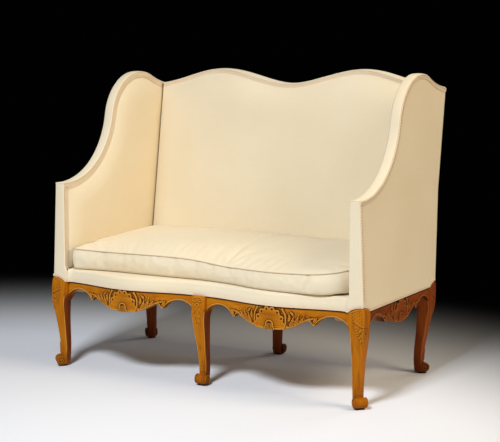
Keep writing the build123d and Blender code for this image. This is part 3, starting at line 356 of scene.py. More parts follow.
CREAM = woven(
    "cream_weave", pale=(0.84, 0.725, 0.52), deep=(0.79, 0.665, 0.45),
    thread=0.0016, relief=0.25, rough=0.85, fuzz=0.12)
# The piping is the same cloth as the cover; its darker tones are painted shadow, so each seam reads as a dark
# line.
SEAM_SHADOW_CREAM = woven(
    "piping_weave", pale=(0.64, 0.51, 0.33), deep=(0.55, 0.43, 0.27),
    thread=0.0014, relief=0.2, rough=0.85, fuzz=0.1)
GIMP = woven(
    "gimp_yarn", pale=(0.84, 0.68, 0.49), deep=(0.76, 0.60, 0.41),
    thread=0.0012, relief=0.2, rough=0.8, fuzz=0.05)
JUTE = woven(
    "jute_webbing", pale=(0.55, 0.42, 0.27), deep=(0.40, 0.29, 0.17),
    thread=0.0030, relief=0.6, rough=0.9, fuzz=0.1)
HESSIAN = woven(
    "hessian_cloth", pale=(0.48, 0.36, 0.22), deep=(0.30, 0.21, 0.12),
    thread=0.0024, relief=0.6, rough=0.95, fuzz=0.1)
print("cloths: cream, piping, gimp, jute, hessian")

# %% [markdown]
# ## Waxed wood
# Show-wood is honey brown where it is worn. The rear legs and rails, the side aprons and the inner sides of
# the front legs get a darker, redder copy of it: painted shade. The grain runs along the piece, and old dark
# wax
# lies in the cuts of the carving, deepened with painted shade. The carved pieces carry two point attributes:
# how deep in a cut a point lies, and how far it stands proud, where it is rubbed pale and lit with a painted
# highlight. Noise on the coordinates would miss the cuts; an attribute follows each one. The wood is darker
# towards the floor. The frame inside is plain beech.

# %% Wood with its wax, wear and painted light
CUT_SHADE_MARK = "cut"
RUB_HIGHLIGHT_MARK = "rub"
WAX_SHINE = 0.06
GRAIN_BUMP = 0.18
CUT_DEPTH_SHADE = 0.22
DARKENING_HEIGHT = 120.0
PAD_HEIGHT = 6.2
PAD_DARK = (0.020, 0.014, 0.010)


def toned(finish, share, tones):
    """Grain between a dark, a middle and a pale tone."""
    pale, middle, dark = tones[1:]
    return finish.ramp(share, [(0.30, dark), (0.66, pale), (0.47, middle)])


def wood(name, tones, grain, rough, shade_painted=None):
    """Wood with grain along one axis, wax and painted shade in its cuts, proud parts rubbed pale with a
    painted highlight, darker near the floor.
    """
    rubbed_highlight, dark = tones[0], tones[-1]
    finish = Finish(name)
    lines = finish.noise(grain, fineness=9.0, detail=6.0)
    bands = finish.noise(tuple(0.35 * g for g in grain), fineness=5.0, detail=3.0)
    share = 0.55 * lines + 0.45 * bands
    grained = toned(finish, share, tones)
    # The sides of the front legs away from the light are painted in the dark red shade tones.
    if shade_painted:
        grained = finish.mix(shade_painted(finish), grained, toned(finish, share, SHADE_RUSSET))
    # Cuts get dark wax and painted shade; proud spots are rubbed pale and carry a painted highlight.
    cut = finish.node("ShaderNodeAttribute", {"attribute_name": CUT_SHADE_MARK}, {}, ATTRIBUTE_NUMBER)
    rub = finish.node("ShaderNodeAttribute", {"attribute_name": RUB_HIGHLIGHT_MARK}, {}, ATTRIBUTE_NUMBER)
    wax_and_shade = tuple(CUT_DEPTH_SHADE * c for c in dark)
    marked_and_lit = finish.mix(cut, finish.mix(0.6 * rub, grained, rubbed_highlight), wax_and_shade)
    x, y, z = finish.axes()
    # Colour darkens towards the floor, and the lowest millimetres of each foot are near black.
    darkened = finish.node("ShaderNodeMapRange", {}, {0: z, 1: DARKENING_HEIGHT * MM, 2: 0.0})
    darker_low = finish.mix(0.55 * darkened, marked_and_lit, dark)
    pad = z < PAD_HEIGHT * MM
    finish.feed(Base_Color=finish.mix(pad, darker_low, PAD_DARK))
    finish.feed(Roughness=0.30 * lines + (rough - 0.12))
    finish.feed(Normal=finish.bump(lines, GRAIN_BUMP, 0.5 * MM), Specular_IOR_Level=WAX_SHINE)
    return finish.material


print("wood is scuffed up to", DARKENING_HEIGHT, "mm")

# %% Woods of the legs, the aprons and the frame
UPRIGHT_GRAIN = (11, 11, 1.0)
CROSS_GRAIN = (1.0, 11, 11)
DEPTH_GRAIN = (11, 1.0, 11)
PLAIN_GRAIN = (2.0, 11, 11)
WAXED = 0.46
BARE = 0.6
# Tones of each wood: rubbed pale with a painted highlight, pale, middle, dark
HONEY = ((0.62, 0.31, 0.06), (0.52, 0.185, 0.006), (0.43, 0.135, 0.003), (0.22, 0.050, 0.002))
# The dark red tones below are painted shade: a darker, redder copy of the honey wood for pieces that lie in
# shade.
SHADE_RUSSET = ((0.40, 0.15, 0.03), (0.30, 0.070, 0.008), (0.21, 0.042, 0.006), (0.10, 0.016, 0.004))
PLAIN_BEECH = ((0.62, 0.44, 0.27), (0.62, 0.44, 0.27), (0.55, 0.38, 0.22), (0.44, 0.28, 0.15))
LEG_WOOD = wood("honey_wood_upright", HONEY, UPRIGHT_GRAIN, WAXED)
REAR_LEG_WOOD = wood("russet_wood_upright", SHADE_RUSSET, UPRIGHT_GRAIN, WAXED)
FRONT_WOOD = wood("honey_wood_across", HONEY, CROSS_GRAIN, WAXED)
SIDE_WOOD = wood("russet_wood_back_to_front", SHADE_RUSSET, DEPTH_GRAIN, WAXED)
REAR_WOOD = wood("russet_wood_across", SHADE_RUSSET, CROSS_GRAIN, WAXED)
BEECH = wood("planed_beech", PLAIN_BEECH, PLAIN_GRAIN, BARE)


def leg_wood(node):
    """The rear legs get the dark red copy of the wood, painted shade."""
    return REAR_LEG_WOOD if node.startswith("rear") else LEG_WOOD


def dress(node, finish):
    """Gives a solid a finish of its own."""
    materials = nodes[node].data.materials
    materials.clear()
    materials.append(finish)


wooden = []
for node in nodes:
    if node.endswith("_leg"):
        wooden.append((node, leg_wood(node)))
    elif node in ("rear_left_rail", "rear_right_rail"):
        wooden.append((node, REAR_WOOD))
    elif node.endswith("_rail") or node in ("corner_blocks", "joint_pegs", "seat_stretcher"):
        wooden.append((node, BEECH))
for node, finish in wooden:
    dress(node, finish)
print("solids in wood:", len(wooden))

# %% [markdown]
# ## Pieces from grids
# Most upholstery is one grid of points on the outside and one on the inside, closed round the rim.
# A maker would cut the cover flat and pull it over the stuffing; here the grid has the pulled shape.
# That keeps its rim where the solid has it, and the grid's lengths tell how large the cloth was cut.

# %% Skins between grids


def grid_faces(rows, cols, start=0):
    """Quads of a grid whose points run row by row."""
    faces = []
    for r in range(rows - 1):
        for c in range(cols - 1):
            a = start + r * cols + c
            faces.append((a, a + 1, a + cols + 1, a + cols))
    return faces


def rim_loop(rows, cols):
    """Points round the rim of a grid, in order."""
    top = list(range(cols))
    right = [r * cols + cols - 1 for r in range(1, rows)]
    bottom = [(rows - 1) * cols + c for c in range(cols - 2, -1, -1)]
    left = [r * cols for r in range(rows - 2, 0, -1)]
    return top + right + bottom + left


def closed_skin(outer, inner):
    """Points and faces of a closed skin between two grids of one size."""
    rows, cols = outer.shape[:2]
    count = rows * cols
    points = np.concatenate([outer.reshape(-1, 3), inner.reshape(-1, 3)])
    faces = grid_faces(rows, cols) + [face[::-1] for face in grid_faces(rows, cols, count)]
    rim = rim_loop(rows, cols)
    for a, b in zip(rim, rim[1:] + rim[:1]):
        faces.append((b, a, a + count, b + count))
    return points, faces


print("two grids can be closed to a skin")

# %% Pieces in place
WELD = 0.001


def make_piece(name, points, faces, finish, slot, replaced=(), body="settee", sharp=None):
    """Mesh piece in place, with its finish, riding on a body."""
    mesh = bpy.data.meshes.new(name)
    mesh.from_pydata(place(points).tolist(), [], faces)
    shape = bmesh.new()
    shape.from_mesh(mesh)
    bmesh.ops.remove_doubles(shape, verts=shape.verts, dist=WELD * MM)
    bmesh.ops.recalc_face_normals(shape, faces=shape.faces)
    shape.to_mesh(mesh)
    shape.free()
    mesh.polygons.foreach_set("use_smooth", [True] * len(mesh.polygons))
    if sharp:
        mesh.set_sharp_from_angle(angle=math.radians(sharp))
    mesh.materials.append(finish)
    piece = bpy.data.objects.new(name, mesh)
    scene.collection.objects.link(piece)
    return settle(piece, replaced, body)


def settle(piece, replaced=(), body="settee"):
    """Puts a piece on the empty of its body, and hides the solids it stands for."""
    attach(piece, body)
    if replaced:
        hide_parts(*replaced)
    return piece


def mirror_side(grid, side):
    """Right-hand grid, or its left-hand twin where side is -1."""
    return grid * np.array([side, 1, 1])


print("points of a piece are welded within", WELD, "mm")

# %% Covers and stuffed pieces


def grid_area(grid):
    """Area of a grid in square metres, with its two lengths in metres."""
    across = np.linalg.norm(np.diff(grid, axis=1), axis=2).sum(axis=1).max() * MM
    along = np.linalg.norm(np.diff(grid, axis=0), axis=2).sum(axis=0).max() * MM
    a = grid[1:, 1:] - grid[:-1, :-1]
    b = grid[1:, :-1] - grid[:-1, 1:]
    return 0.5 * np.linalg.norm(np.cross(a, b), axis=2).sum() * MM * MM, across, along


def stretched_cover(piece, grid):
    """Prints the size that a cover of cloth pulled over its frame was cut to."""
    area, across, along = grid_area(grid)
    area = min(area, across * along)
    print(piece.name, "cut", round(across, 3), "by", round(along, 3), "m, area", round(area, 3))


def stretched_piece(name, outer, inner, node, finish=CREAM, slot="cream_cloth"):
    """Cloth pulled over its frame, between an outer and an inner grid, in place of a solid."""
    piece = make_piece(name, *closed_skin(outer, inner), finish, slot, [node])
    stretched_cover(piece, outer)


def padded_piece(name, outer, inner, node):
    """Stuffed piece between an outer and an inner grid, in place of a solid."""
    piece = make_piece(name, *closed_skin(outer, inner), CREAM, "cream_cloth", [node])
    print(name, len(piece.data.polygons), "faces")


# %% Swells, rolls and spacing
SWELL_POWER = 2.4


def rise(distance, run):
    """Swell of stuffing from 0 at its edge to 1 at a distance."""
    share = np.clip(np.asarray(distance, float) / run, 0, 1)
    return 1 - (1 - share) ** SWELL_POWER


def rolled(distance, radius):
    """Drop of a rounded edge, from 1 at the edge to 0 at a radius."""
    return 1 - np.sqrt(1 - (1 - np.clip(distance / radius, 0, 1)) ** 2)


def spaced(start, end, count, crowd):
    """Values from start to end, closer together near both ends."""
    t = np.linspace(0, 1, count)
    eased = (1 - np.cos(math.pi * t)) / 2
    return start + (end - start) * ((1 - crowd) * t + crowd * eased)


print("halfway in, stuffing has", round(float(rise(0.5, 1.0)), 2), "of its swell")

# %% [markdown]
# ## Outlines that many pieces share
# The wing's edge is a level run, a hollow sweep, a round crown and a hollow tail, as arcs that turn into each
# other. The crest is read off its solid with rays from above. The sides flare out to the seat frame,
# and the front of each half bows forward. Covers, borders, braid and stitches all ask these few functions,
# so they meet without being fitted to each other.

# %% Sizes of the settee
HALF_ROOT = math.sqrt(0.5)
HALF_WIDTH = 612.0
SEAT_DEPTH = 598.0
BLOCK = 54.0
LEG_AXIS = BLOCK / 2
FRONT_APRON = 531.0
SIDE_APRON = 490.0
APRON_TOP = 314.0
RAIL_TOP = 330.0
DECK_TOP = 360.0
ARM_TOP = 671.0
UPPER_HALF = 597.0
FLARE_TOP = 651.0
CLOTH = 3.0
CLEAR = 0.4  # air between a cover and what it lies on
SKIN_GAP = 0.3
KNEE_GAP = 0.6
BRAID_WIDTH = 15.0
WING_BRAID_WIDTH = 20.0
BASE_BRAID_WIDTH = 9.5
FLANGE_X = 566.0
BORDER_INNER = 564.0
BORDER_OUTER = 600.0
WING_BASE_X = 574.0
WING_CROWN_X = 552.0
BACK_HALF = 551.2
BACK_COVER_HALF = 560.0  # the cover tucks in beside the wings
FRAME_N = 30.0  # distances from the back frame's rear face, square to the lean
BACK_BASE_N = 34.0
BACK_FACE_N = 64.0
BACK_CROWN_N = 86.0
LEAN = math.radians(8.5)
WING_ARCS = ((289.0, 79.0), (192.0, -103.0), (384.0, 21.0))  # radius and turn
ARM_LEVEL = 16.0
TAIL_RUN = 80.0
BOW_START = 10.0
BOW_DEPTH = 40.0
LIP_HALF = 557.0
LIP_TURN = 21.0  # width in which the seat's lip comes forward to an arm front
LIP_REACH = 8.0
KNEE_MIDDLE = 285.8
KNEE_RADIUS = 45.2
print("settee of", 2 * HALF_WIDTH, "by", SEAT_DEPTH, "mm, arms", ARM_TOP, "mm high")

# %% Lines of the wing and the back


def back_y(z, n):
    """Depth of the leaning plane n in front of the back frame, at a height."""
    return SEAT_DEPTH + (np.asarray(z, float) - RAIL_TOP) * math.tan(LEAN) - n / math.cos(LEAN)


def wing_line(inset, start=0.0, plane=-CLOTH, step=5.0):
    """(y, z) points along a wing's edge, drawn in by an inset, to where it meets a leaning plane."""
    points = [np.array([start, ARM_TOP - inset]), np.array([ARM_LEVEL, ARM_TOP - inset])]
    heading = 0.0
    for radius, turn in WING_ARCS:
        side = math.copysign(1.0, turn)
        true_radius = radius + side * inset
        spot = points[-1]
        middle = spot + true_radius * side * np.array([-math.sin(heading), math.cos(heading)])
        count = max(4, int(true_radius * math.radians(abs(turn)) / step))
        for i in range(1, count + 1):
            angle = heading + math.radians(turn) * i / count
            points.append(middle - true_radius * side * np.array([-math.sin(angle), math.cos(angle)]))
        heading += math.radians(turn)
    points.append(points[-1] + TAIL_RUN * np.array([math.cos(heading), math.sin(heading)]))
    points = np.array(points)
    ahead = back_y(points[:, 1], plane) - points[:, 0]
    last = int(np.argmax(ahead < 0))
    share = ahead[last - 1] / (ahead[last - 1] - ahead[last])
    meeting = points[last - 1] + share * (points[last] - points[last - 1])
    return np.concatenate([points[:last], meeting[None]])


def evenly(line, count):
    """A line again, as points evenly spaced along it."""
    steps = np.linalg.norm(np.diff(line, axis=0), axis=1)
    along = np.concatenate([[0], np.cumsum(steps)])
    at = np.linspace(0, along[-1], count)
    return np.stack([np.interp(at, along, line[:, k]) for k in range(line.shape[1])], axis=1)


print("wing's edge of", len(wing_line(0.0)), "points")

# %% Crest, flare and bow
CREST_HALF = 563.0
CREST_SPOTS = 226
CREST_LEVEL = 1040.0
ABOVE_ALL = 1200.0


def solid_tree(node):
    """A solid's faces, ready for rays."""
    return BVHTree.FromObject(nodes[node], bpy.context.evaluated_depsgraph_get())


def ray_hit(tree, spot, way):
    """Where a ray from a spot meets a solid, in the maker's axes, or None."""
    origin = place([spot])[0]
    hit = tree.ray_cast(origin, way)[0]
    if hit is None:
        return None
    found = np.array(hit)
    found[1] -= FRONT
    return found / MM


crest_tree = solid_tree("crest_border")
crest_y = float(back_y(CREST_LEVEL, FRAME_N))
crest_x = np.linspace(-CREST_HALF, CREST_HALF, CREST_SPOTS)
crest_z = np.array([ray_hit(crest_tree, (x, crest_y, ABOVE_ALL), (0, 0, -1))[2] for x in crest_x])


def crest(x):
    """Height of the crest at a width."""
    return np.interp(x, crest_x, crest_z)


def flare(z):
    """Half width of the side frame at a height."""
    return np.interp(z, [RAIL_TOP, FLARE_TOP], [HALF_WIDTH, UPPER_HALF])


def bowed_front(x):
    """Depth of the front rail's face at a width."""
    share = np.clip((np.abs(x) - LEG_AXIS) / FRONT_APRON, 0, 1)
    return BOW_START - BOW_DEPTH * np.sin(math.pi * share) ** 2


def lip_front(x):
    """Depth of the seat's front lip: proud of the rail, and coming forward to meet the arm fronts."""
    near_end = np.clip((np.abs(x) - LIP_HALF + LIP_TURN) / LIP_TURN, 0, 1)
    return bowed_front(x) - CLOTH - LIP_REACH * near_end ** 2


def knee_arch(lateral):
    """Height of the arch on a corner leg's knee, by the distance from its corner, seen on the diagonal."""
    return KNEE_MIDDLE + np.sqrt(np.clip(KNEE_RADIUS ** 2 - np.asarray(lateral, float) ** 2, 0, None))


print("crest from", round(crest_z.min()), "to", round(crest_z.max()))

# %% [markdown]
# ## Inside back
# The back is webbed, stuffed and covered tight, with a soft roll into the wings on both sides.
# It swells a little towards its middle and stays thin under the braid along the crest.
# It could be sculpted, or blown up as cloth. Cloth pulled this tight hardly moves, so a grid that swells
# with the distance from each edge is enough, and its rim stays put.

# %% Inside back
SIDE_RUN = 95.0  # widths in which the stuffing swells from each edge
CREST_RUN = 110.0
SEAT_RUN = 80.0
SIDE_ROLL = 5.0


def inside_back():
    cols, rows = 150, 90
    x = spaced(-BACK_COVER_HALF, BACK_COVER_HALF, cols, crowd=0.6)
    v = spaced(0.0, 1.0, rows, crowd=0.5)[:, None]
    low = DECK_TOP + CLEAR
    top = crest(x) - CLOTH
    z = low + (top - low)[None, :] * v
    side = BACK_COVER_HALF - np.abs(x)[None, :]
    under_braid = (top - BRAID_WIDTH)[None, :] - z
    swell = rise(side, SIDE_RUN) * rise(under_braid, CREST_RUN) * rise(z - low, SEAT_RUN)
    roll = SIDE_ROLL * rolled(side, SIDE_ROLL)
    drawn = 0.9 * np.sin(x / 74.0)[None, :] * np.sin(z / 97.0 + 0.6)
    n = BACK_FACE_N + (BACK_CROWN_N - BACK_FACE_N) * swell - roll + drawn * swell
    wide = np.broadcast_to(x[None, :], z.shape)
    outer = np.stack([wide, back_y(z, n), z], axis=2)
    inner = np.stack([wide, back_y(z, BACK_BASE_N), z], axis=2)
    padded_piece("inside_back_stuffed", outer, inner, "inside_back")


inside_back()

# %% [markdown]
# ## Inside wings
# Arm and wing are stuffed as one. The grid runs along the wing's edge and down to the seat, because a square
# grid would leave steps along the sweep.
# The swell dies away towards every edge, so the braid lies flat on the rim and the rear end sinks
# into the crease beside the back.

# %% Inside wings
WING_RUN = 85.0  # widths in which the stuffing swells from the rim, the crease and the seat
CREASE = 16.0
CREASE_RUN = 75.0
WING_SEAT_RUN = 60.0


def inside_wing(side, name, node):
    cols, rows = 150, 84
    edge = evenly(wing_line(CLOTH, plane=BACK_BASE_N), cols)
    low = DECK_TOP + CLEAR
    rear_low = float(back_y(low, BACK_BASE_N))
    base = np.stack([edge[:, 0] * rear_low / edge[-1, 0], np.full(cols, low)], axis=1)
    v = spaced(0.0, 1.0, rows, crowd=0.4)[:, None, None]
    spread = base[None] + (edge - base)[None] * v
    y, z = spread[..., 0], spread[..., 1]
    gaps = np.full(y.shape, 1e9)
    for spot in edge:
        gaps = np.minimum(gaps, np.hypot(y - spot[0], z - spot[1]))
    behind = (back_y(z, BACK_BASE_N) - y) * math.cos(LEAN)
    rim = WING_BRAID_WIDTH + 1.0
    swell = rise(gaps - rim, WING_RUN) * rise(y - rim, WING_RUN)
    swell = swell * rise(behind - CREASE, CREASE_RUN) * rise(z - low, WING_SEAT_RUN)
    x = FLANGE_X - (FLANGE_X - WING_CROWN_X) * swell
    outer = mirror_side(np.stack([x, y, z], axis=2), side)
    inner = mirror_side(np.stack([np.full(x.shape, WING_BASE_X), y, z], axis=2), side)
    padded_piece(name, outer, inner, node)


for side, hand in HANDS:
    inside_wing(side, hand + "_wing_stuffed_inside", "inside_" + hand + "_wing")

# %% [markdown]
# ## Outside covers
# The outside of the wings and of the back is cloth alone, pulled tight over the frame.
# Its lower edge follows the arched tops of the knees, where the real cover is cut round them.
# A sheet with Solidify would do, but a skin between two grids can also stand out a little in the middle,
# as strained cloth does.

# %% Outside covers of the wings and the facings
WING_PILLOW = 1.6
FACING_PILLOW = 1.2
FACING_DROP = 2.4
FACING_ROUND = 4.0


def outside_wing(side, name, node):
    cols, rows = 120, 70
    edge = evenly(wing_line(CLOTH, plane=-CLOTH), cols)
    y_low = edge[:, 0] * float(back_y(APRON_TOP, -CLOTH)) / edge[-1, 0]
    lateral = np.minimum(y_low, SEAT_DEPTH - y_low) * HALF_ROOT
    lowest = np.maximum(APRON_TOP, knee_arch(np.abs(lateral)) + KNEE_GAP)
    base = np.stack([y_low, lowest], axis=1)
    v = spaced(0.0, 1.0, rows, crowd=0.3)[:, None, None]
    spread = base[None] + (edge - base)[None] * v
    y, z = spread[..., 0], spread[..., 1]
    pillow = WING_PILLOW * np.sin(math.pi * v[..., 0]) * np.sin(math.pi * np.linspace(0, 1, cols))[None, :]
    outer = mirror_side(np.stack([flare(z) + CLOTH + pillow, y, z], axis=2), side)
    inner = mirror_side(np.stack([flare(z) + CLEAR, y, z], axis=2), side)
    stretched_piece(name, outer, inner, node)


def arm_facing(side, name, node):
    cols, rows = 26, 90
    u = np.linspace(0, 1, cols)[None, :]
    v = spaced(0.0, 1.0, rows, crowd=0.3)[:, None]
    top = ARM_TOP - CLOTH
    rough_z = APRON_TOP + (top - APRON_TOP) * v
    inner_x = np.interp(rough_z, [DECK_TOP - 6, DECK_TOP + 10], [LIP_HALF, BORDER_INNER])
    x = inner_x + (flare(rough_z) + CLOTH - inner_x) * u
    lowest = np.maximum(APRON_TOP, knee_arch((HALF_WIDTH - x[:1]) * HALF_ROOT) + KNEE_GAP)
    z = lowest + (top - lowest) * v
    edge = np.minimum(u, 1 - u) * (flare(z) + CLOTH - inner_x)
    face = -CLOTH - FACING_PILLOW * np.sin(math.pi * u) + FACING_DROP * rolled(edge, FACING_ROUND)
    outer = mirror_side(np.stack([x, face, z], axis=2), side)
    inner = mirror_side(np.stack([x, np.full(z.shape, -SKIN_GAP), z], axis=2), side)
    stretched_piece(name, outer, inner, node)


for side, hand in HANDS:
    outside_wing(side, hand + "_wing_cover_outside", "outside_" + hand + "_wing")
    arm_facing(side, hand + "_arm_front_cover", hand + "_arm_facing")

# %% Outside back cover
BACK_PILLOW = 1.4
TAIL_DROP = 0.5


def outside_back():
    cols, rows = 130, 76
    tail = wing_line(CLOTH, plane=-CLOTH)[-1, 1]
    u = spaced(-1.0, 1.0, cols, crowd=0.4)
    v = spaced(0.0, 1.0, rows, crowd=0.3)[:, None]
    top_x = u * (UPPER_HALF - CLEAR)
    top = np.where(np.abs(top_x) < CREST_HALF, crest(top_x) - CLOTH, tail - TAIL_DROP)
    base_x = u * (HALF_WIDTH - CLEAR)
    lateral = (HALF_WIDTH - np.abs(base_x)) * HALF_ROOT
    lowest = np.maximum(APRON_TOP, knee_arch(lateral) + KNEE_GAP)
    z = lowest[None, :] + (top - lowest)[None, :] * v
    x = u[None, :] * (flare(z) - CLEAR)
    pillow = BACK_PILLOW * np.cos(u * math.pi / 2)[None, :] * np.sin(math.pi * v)
    outer = np.stack([x, back_y(z, -CLOTH) + pillow, z], axis=2)
    inner = np.stack([x, back_y(z, -SKIN_GAP), z], axis=2)
    stretched_piece("outside_back_cover", outer, inner, "outside_back")


outside_back()

# %% [markdown]
# ## Borders
# A strip of the same cloth runs over the edge of each wing, from the arm front to the back, and over
# the crest. Its section is a flat strip with rounded edges and a slight crown, carried along the edge.
# A curve with a bevel could twist on its way; the rows of a grid stay square to the edge.

# %% Border strips
WING_STRIP_CROWN = 1.4
CREST_STRIP_CROWN = 2.2
STRIP_LAP = 0.8  # how far a wing's strip laps over the arm front
CREST_LAP = 2.0


def strip_section(width, thick, crown, count=15):
    """(across, up) points over the top of a strip with rounded edges."""
    across = np.linspace(0, 1, count)
    edge = np.minimum(across, 1 - across) * width
    return across * width, crown * np.sin(math.pi * across) - thick * rolled(edge, thick)


def wing_border(side, name, node):
    edge = evenly(wing_line(0.0, start=-CLOTH - STRIP_LAP, plane=-CLOTH), 170)
    way = np.gradient(edge, axis=0)
    way /= np.linalg.norm(way, axis=1)[:, None]
    out = np.stack([-way[:, 1], way[:, 0]], axis=1)
    across, up = strip_section(BORDER_OUTER - BORDER_INNER, CLOTH, WING_STRIP_CROWN)
    rows = []
    for height in (up, np.full(across.shape, -CLOTH)):
        yz = edge[:, None, :] + out[:, None, :] * height[None, :, None]
        x = np.broadcast_to(BORDER_INNER + across[None, :], yz.shape[:2])
        rows.append(mirror_side(np.concatenate([x[..., None], yz], axis=2), side))
    stretched_piece(name, *rows, node)


def crest_border():
    x = np.linspace(-BORDER_INNER, BORDER_INNER, 200)
    slope = np.gradient(crest(x), x)
    out = np.stack([-slope, np.ones_like(slope)], axis=1) / np.hypot(slope, 1)[:, None]
    across, up = strip_section(BACK_FACE_N + CREST_LAP + CLOTH, CLOTH, CREST_STRIP_CROWN)
    rows = []
    for height in (up, np.full(across.shape, -CLOTH)):
        wide = x[:, None] + out[:, :1] * height[None, :]
        z = crest(x)[:, None] + out[:, 1:] * height[None, :]
        rows.append(np.stack([wide, back_y(z, across[None, :] - CLOTH), z], axis=2))
    stretched_piece("crest_border_strip", *rows, "crest_border")


for side, hand in HANDS:
    wing_border(side, hand + "_wing_border_strip", hand + "_wing_border")
crest_border()

# %% [markdown]
# ## Seat deck
# Under the loose cushion the seat is upholstered tight. Only its front lip shows, bowed like the rail below
# it and rounded over the top. The rows of one grid go up the lip, round its edge and back over the seat,
# so the edge needs no bevel and the cover no seam.

# %% Seat deck
DECK_HALF = 573.0
DECK_GAP = 0.5  # beside the arm posts
LIP_ROUND = 12.0
LIP_SWELL = 2.0
LIP_THICK = 5.5
WEBBED = 4.0  # height of webbing and hessian on the rail
DECK_BASE = RAIL_TOP + WEBBED + 0.2


def seat_deck():
    x = spaced(-DECK_HALF, DECK_HALF, 230, crowd=0.2)
    between = np.abs(x) < LIP_HALF + DECK_GAP
    front = np.where(between, lip_front(x), BLOCK + DECK_GAP)
    lip = np.where(between, APRON_TOP, RAIL_TOP + WEBBED)
    rear = float(back_y(RAIL_TOP, FRAME_N)) - CLEAR
    rows = []
    for share in np.linspace(0, 1, 12):
        swell = LIP_SWELL * np.sin(math.pi * share)
        z = lip + (DECK_TOP - LIP_ROUND - lip) * share
        rows.append(np.stack([x, front - swell, z], axis=1))
    for angle in np.linspace(0, math.pi / 2, 8)[1:]:
        y = front + LIP_ROUND - LIP_ROUND * math.cos(angle)
        z = np.full(x.shape, DECK_TOP - LIP_ROUND + LIP_ROUND * math.sin(angle))
        rows.append(np.stack([x, y, z], axis=1))
    for share in np.linspace(0, 1, 30)[1:]:
        y = front + LIP_ROUND + (rear - front - LIP_ROUND) * share
        rows.append(np.stack([x, y, np.full(x.shape, DECK_TOP)], axis=1))
    outer = np.stack(rows)
    inner = outer.copy()
    inner[..., 1] = np.minimum(np.maximum(outer[..., 1], (front + LIP_THICK)[None, :]), rear)
    inner[..., 2] = np.minimum(outer[..., 2], DECK_BASE)
    padded_piece("seat_deck_stuffed", outer, inner, "seat_deck")


seat_deck()

# %% [markdown]
# ## Carved aprons
# Each apron is one board, bowed on the front and flat at the sides, with its lower edge sawn to scrolls and
# the face carved: a fillet along the edge, a shell in the middle, acanthus leaves that run out to both sides.
# A carver draws this on the board and cuts down round it. Here every point of a fine grid on the face gets a
# height, from round ridges along drawn lines, leaves along bent spines and a fan of ribs.
# Bump in the finish would be quicker, but it is flat from the side and throws no shadow.

# %% Strokes of the carver
LEAF_LOBES = 9
LOBE_DEPTH = 0.22
VEIN_DEPTH = 0.45
VEIN_WIDTH = 0.9


def ridge(gap, radius, height):
    """Round ridge over a line, by the distance from the line."""
    return height * np.sqrt(np.clip(1 - (gap / radius) ** 2, 0, None))


def bent(corners, count=16):
    """Points of a Bezier curve with any number of corners."""
    t = np.linspace(0, 1, count)[:, None, None]
    rows = np.broadcast_to(np.array(corners, float)[None], (count, len(corners), 2))
    while rows.shape[1] > 1:
        rows = rows[:, :-1] * (1 - t) + rows[:, 1:] * t
    return rows[:, 0]


def line_gap(across, up, line):
    """Distance of points from a line, and how far along it the nearest spot lies, 0 to 1."""
    best = np.full(across.shape, 1e9)
    share = np.zeros(across.shape)
    steps = len(line) - 1
    for i in range(steps):
        start, end = line[i], line[i + 1]
        way = end - start
        along = ((across - start[0]) * way[0] + (up - start[1]) * way[1]) / max(way @ way, 1e-9)
        along = np.clip(along, 0, 1)
        gap = np.hypot(across - start[0] - along * way[0], up - start[1] - along * way[1])
        closer = gap < best
        best = np.where(closer, gap, best)
        share = np.where(closer, (i + along) / steps, share)
    return best, share


def leaf(across, up, corners, width, height):
    """Acanthus blade along a bent spine: lobed edge, round back and a vein."""
    gap, share = line_gap(across, up, bent(corners))
    lobes = 1 + LOBE_DEPTH * np.cos(LEAF_LOBES * math.pi * share)
    half = width * np.sin(math.pi * np.clip(share, 0.04, 0.97) ** 0.75) * lobes
    body = height * np.sqrt(np.clip(1 - (gap / np.maximum(half, 0.3)) ** 2, 0, None))
    vein = VEIN_DEPTH * height * np.exp(-(gap / VEIN_WIDTH) ** 2)
    return np.clip(body - vein * (body > 0), 0, None)


def pearl(across, up, spot, radius, height):
    """Round bead on a spot."""
    return ridge(np.hypot(across - spot[0], up - spot[1]), radius, height)


print("strokes: ridge, leaf, pearl")

# %% Wax, wear and painted light of a carving
BLUR_TIMES = 12
CUT_GAIN = 1.1
RUB_GAIN = 0.6


def blurred(heights, times):
    """Heights evened out over their neighbours."""
    soft = heights
    for i in range(times):
        wide = np.pad(soft, 1, mode="edge")
        soft = (wide[1:-1, :-2] + wide[1:-1, 2:] + wide[:-2, 1:-1] + wide[2:, 1:-1]) / 4
    return soft


def mark_wax_wear_and_light(piece, heights, rubbed_highlight=0.0, shaded=0.0, strength=1.0):
    """Marks the cuts (wax and painted shade) and proud spots (rubbed pale, painted highlight) of a carved
    face; shaded adds painted shadow. Its points come first in the piece.
    """
    proud = strength * (heights - blurred(heights, BLUR_TIMES))
    marks = {
        CUT_SHADE_MARK: np.clip(shaded - CUT_GAIN * proud, 0, 1),
        RUB_HIGHLIGHT_MARK: np.clip(RUB_GAIN * proud + rubbed_highlight, 0, 1)}
    for mark, values in marks.items():
        every = np.zeros(len(piece.data.vertices))
        every[:values.size] = values.ravel()
        layer = piece.data.attributes.new(mark, "FLOAT", "POINT")
        layer.data.foreach_set("value", every)


print("marks on carvings:", CUT_SHADE_MARK, "and", RUB_HIGHLIGHT_MARK)

# %% Shell
SHELL_ROOT = 245.0
SHELL_RADIUS = 71.0
SHELL_SQUEEZE = 1.2  # the shell is narrower than it is high
RIB_PITCH = math.radians(24.0)
DRILL_SPOT = 0.84  # of the shell's radius
FINGER_PITCH = 5.2


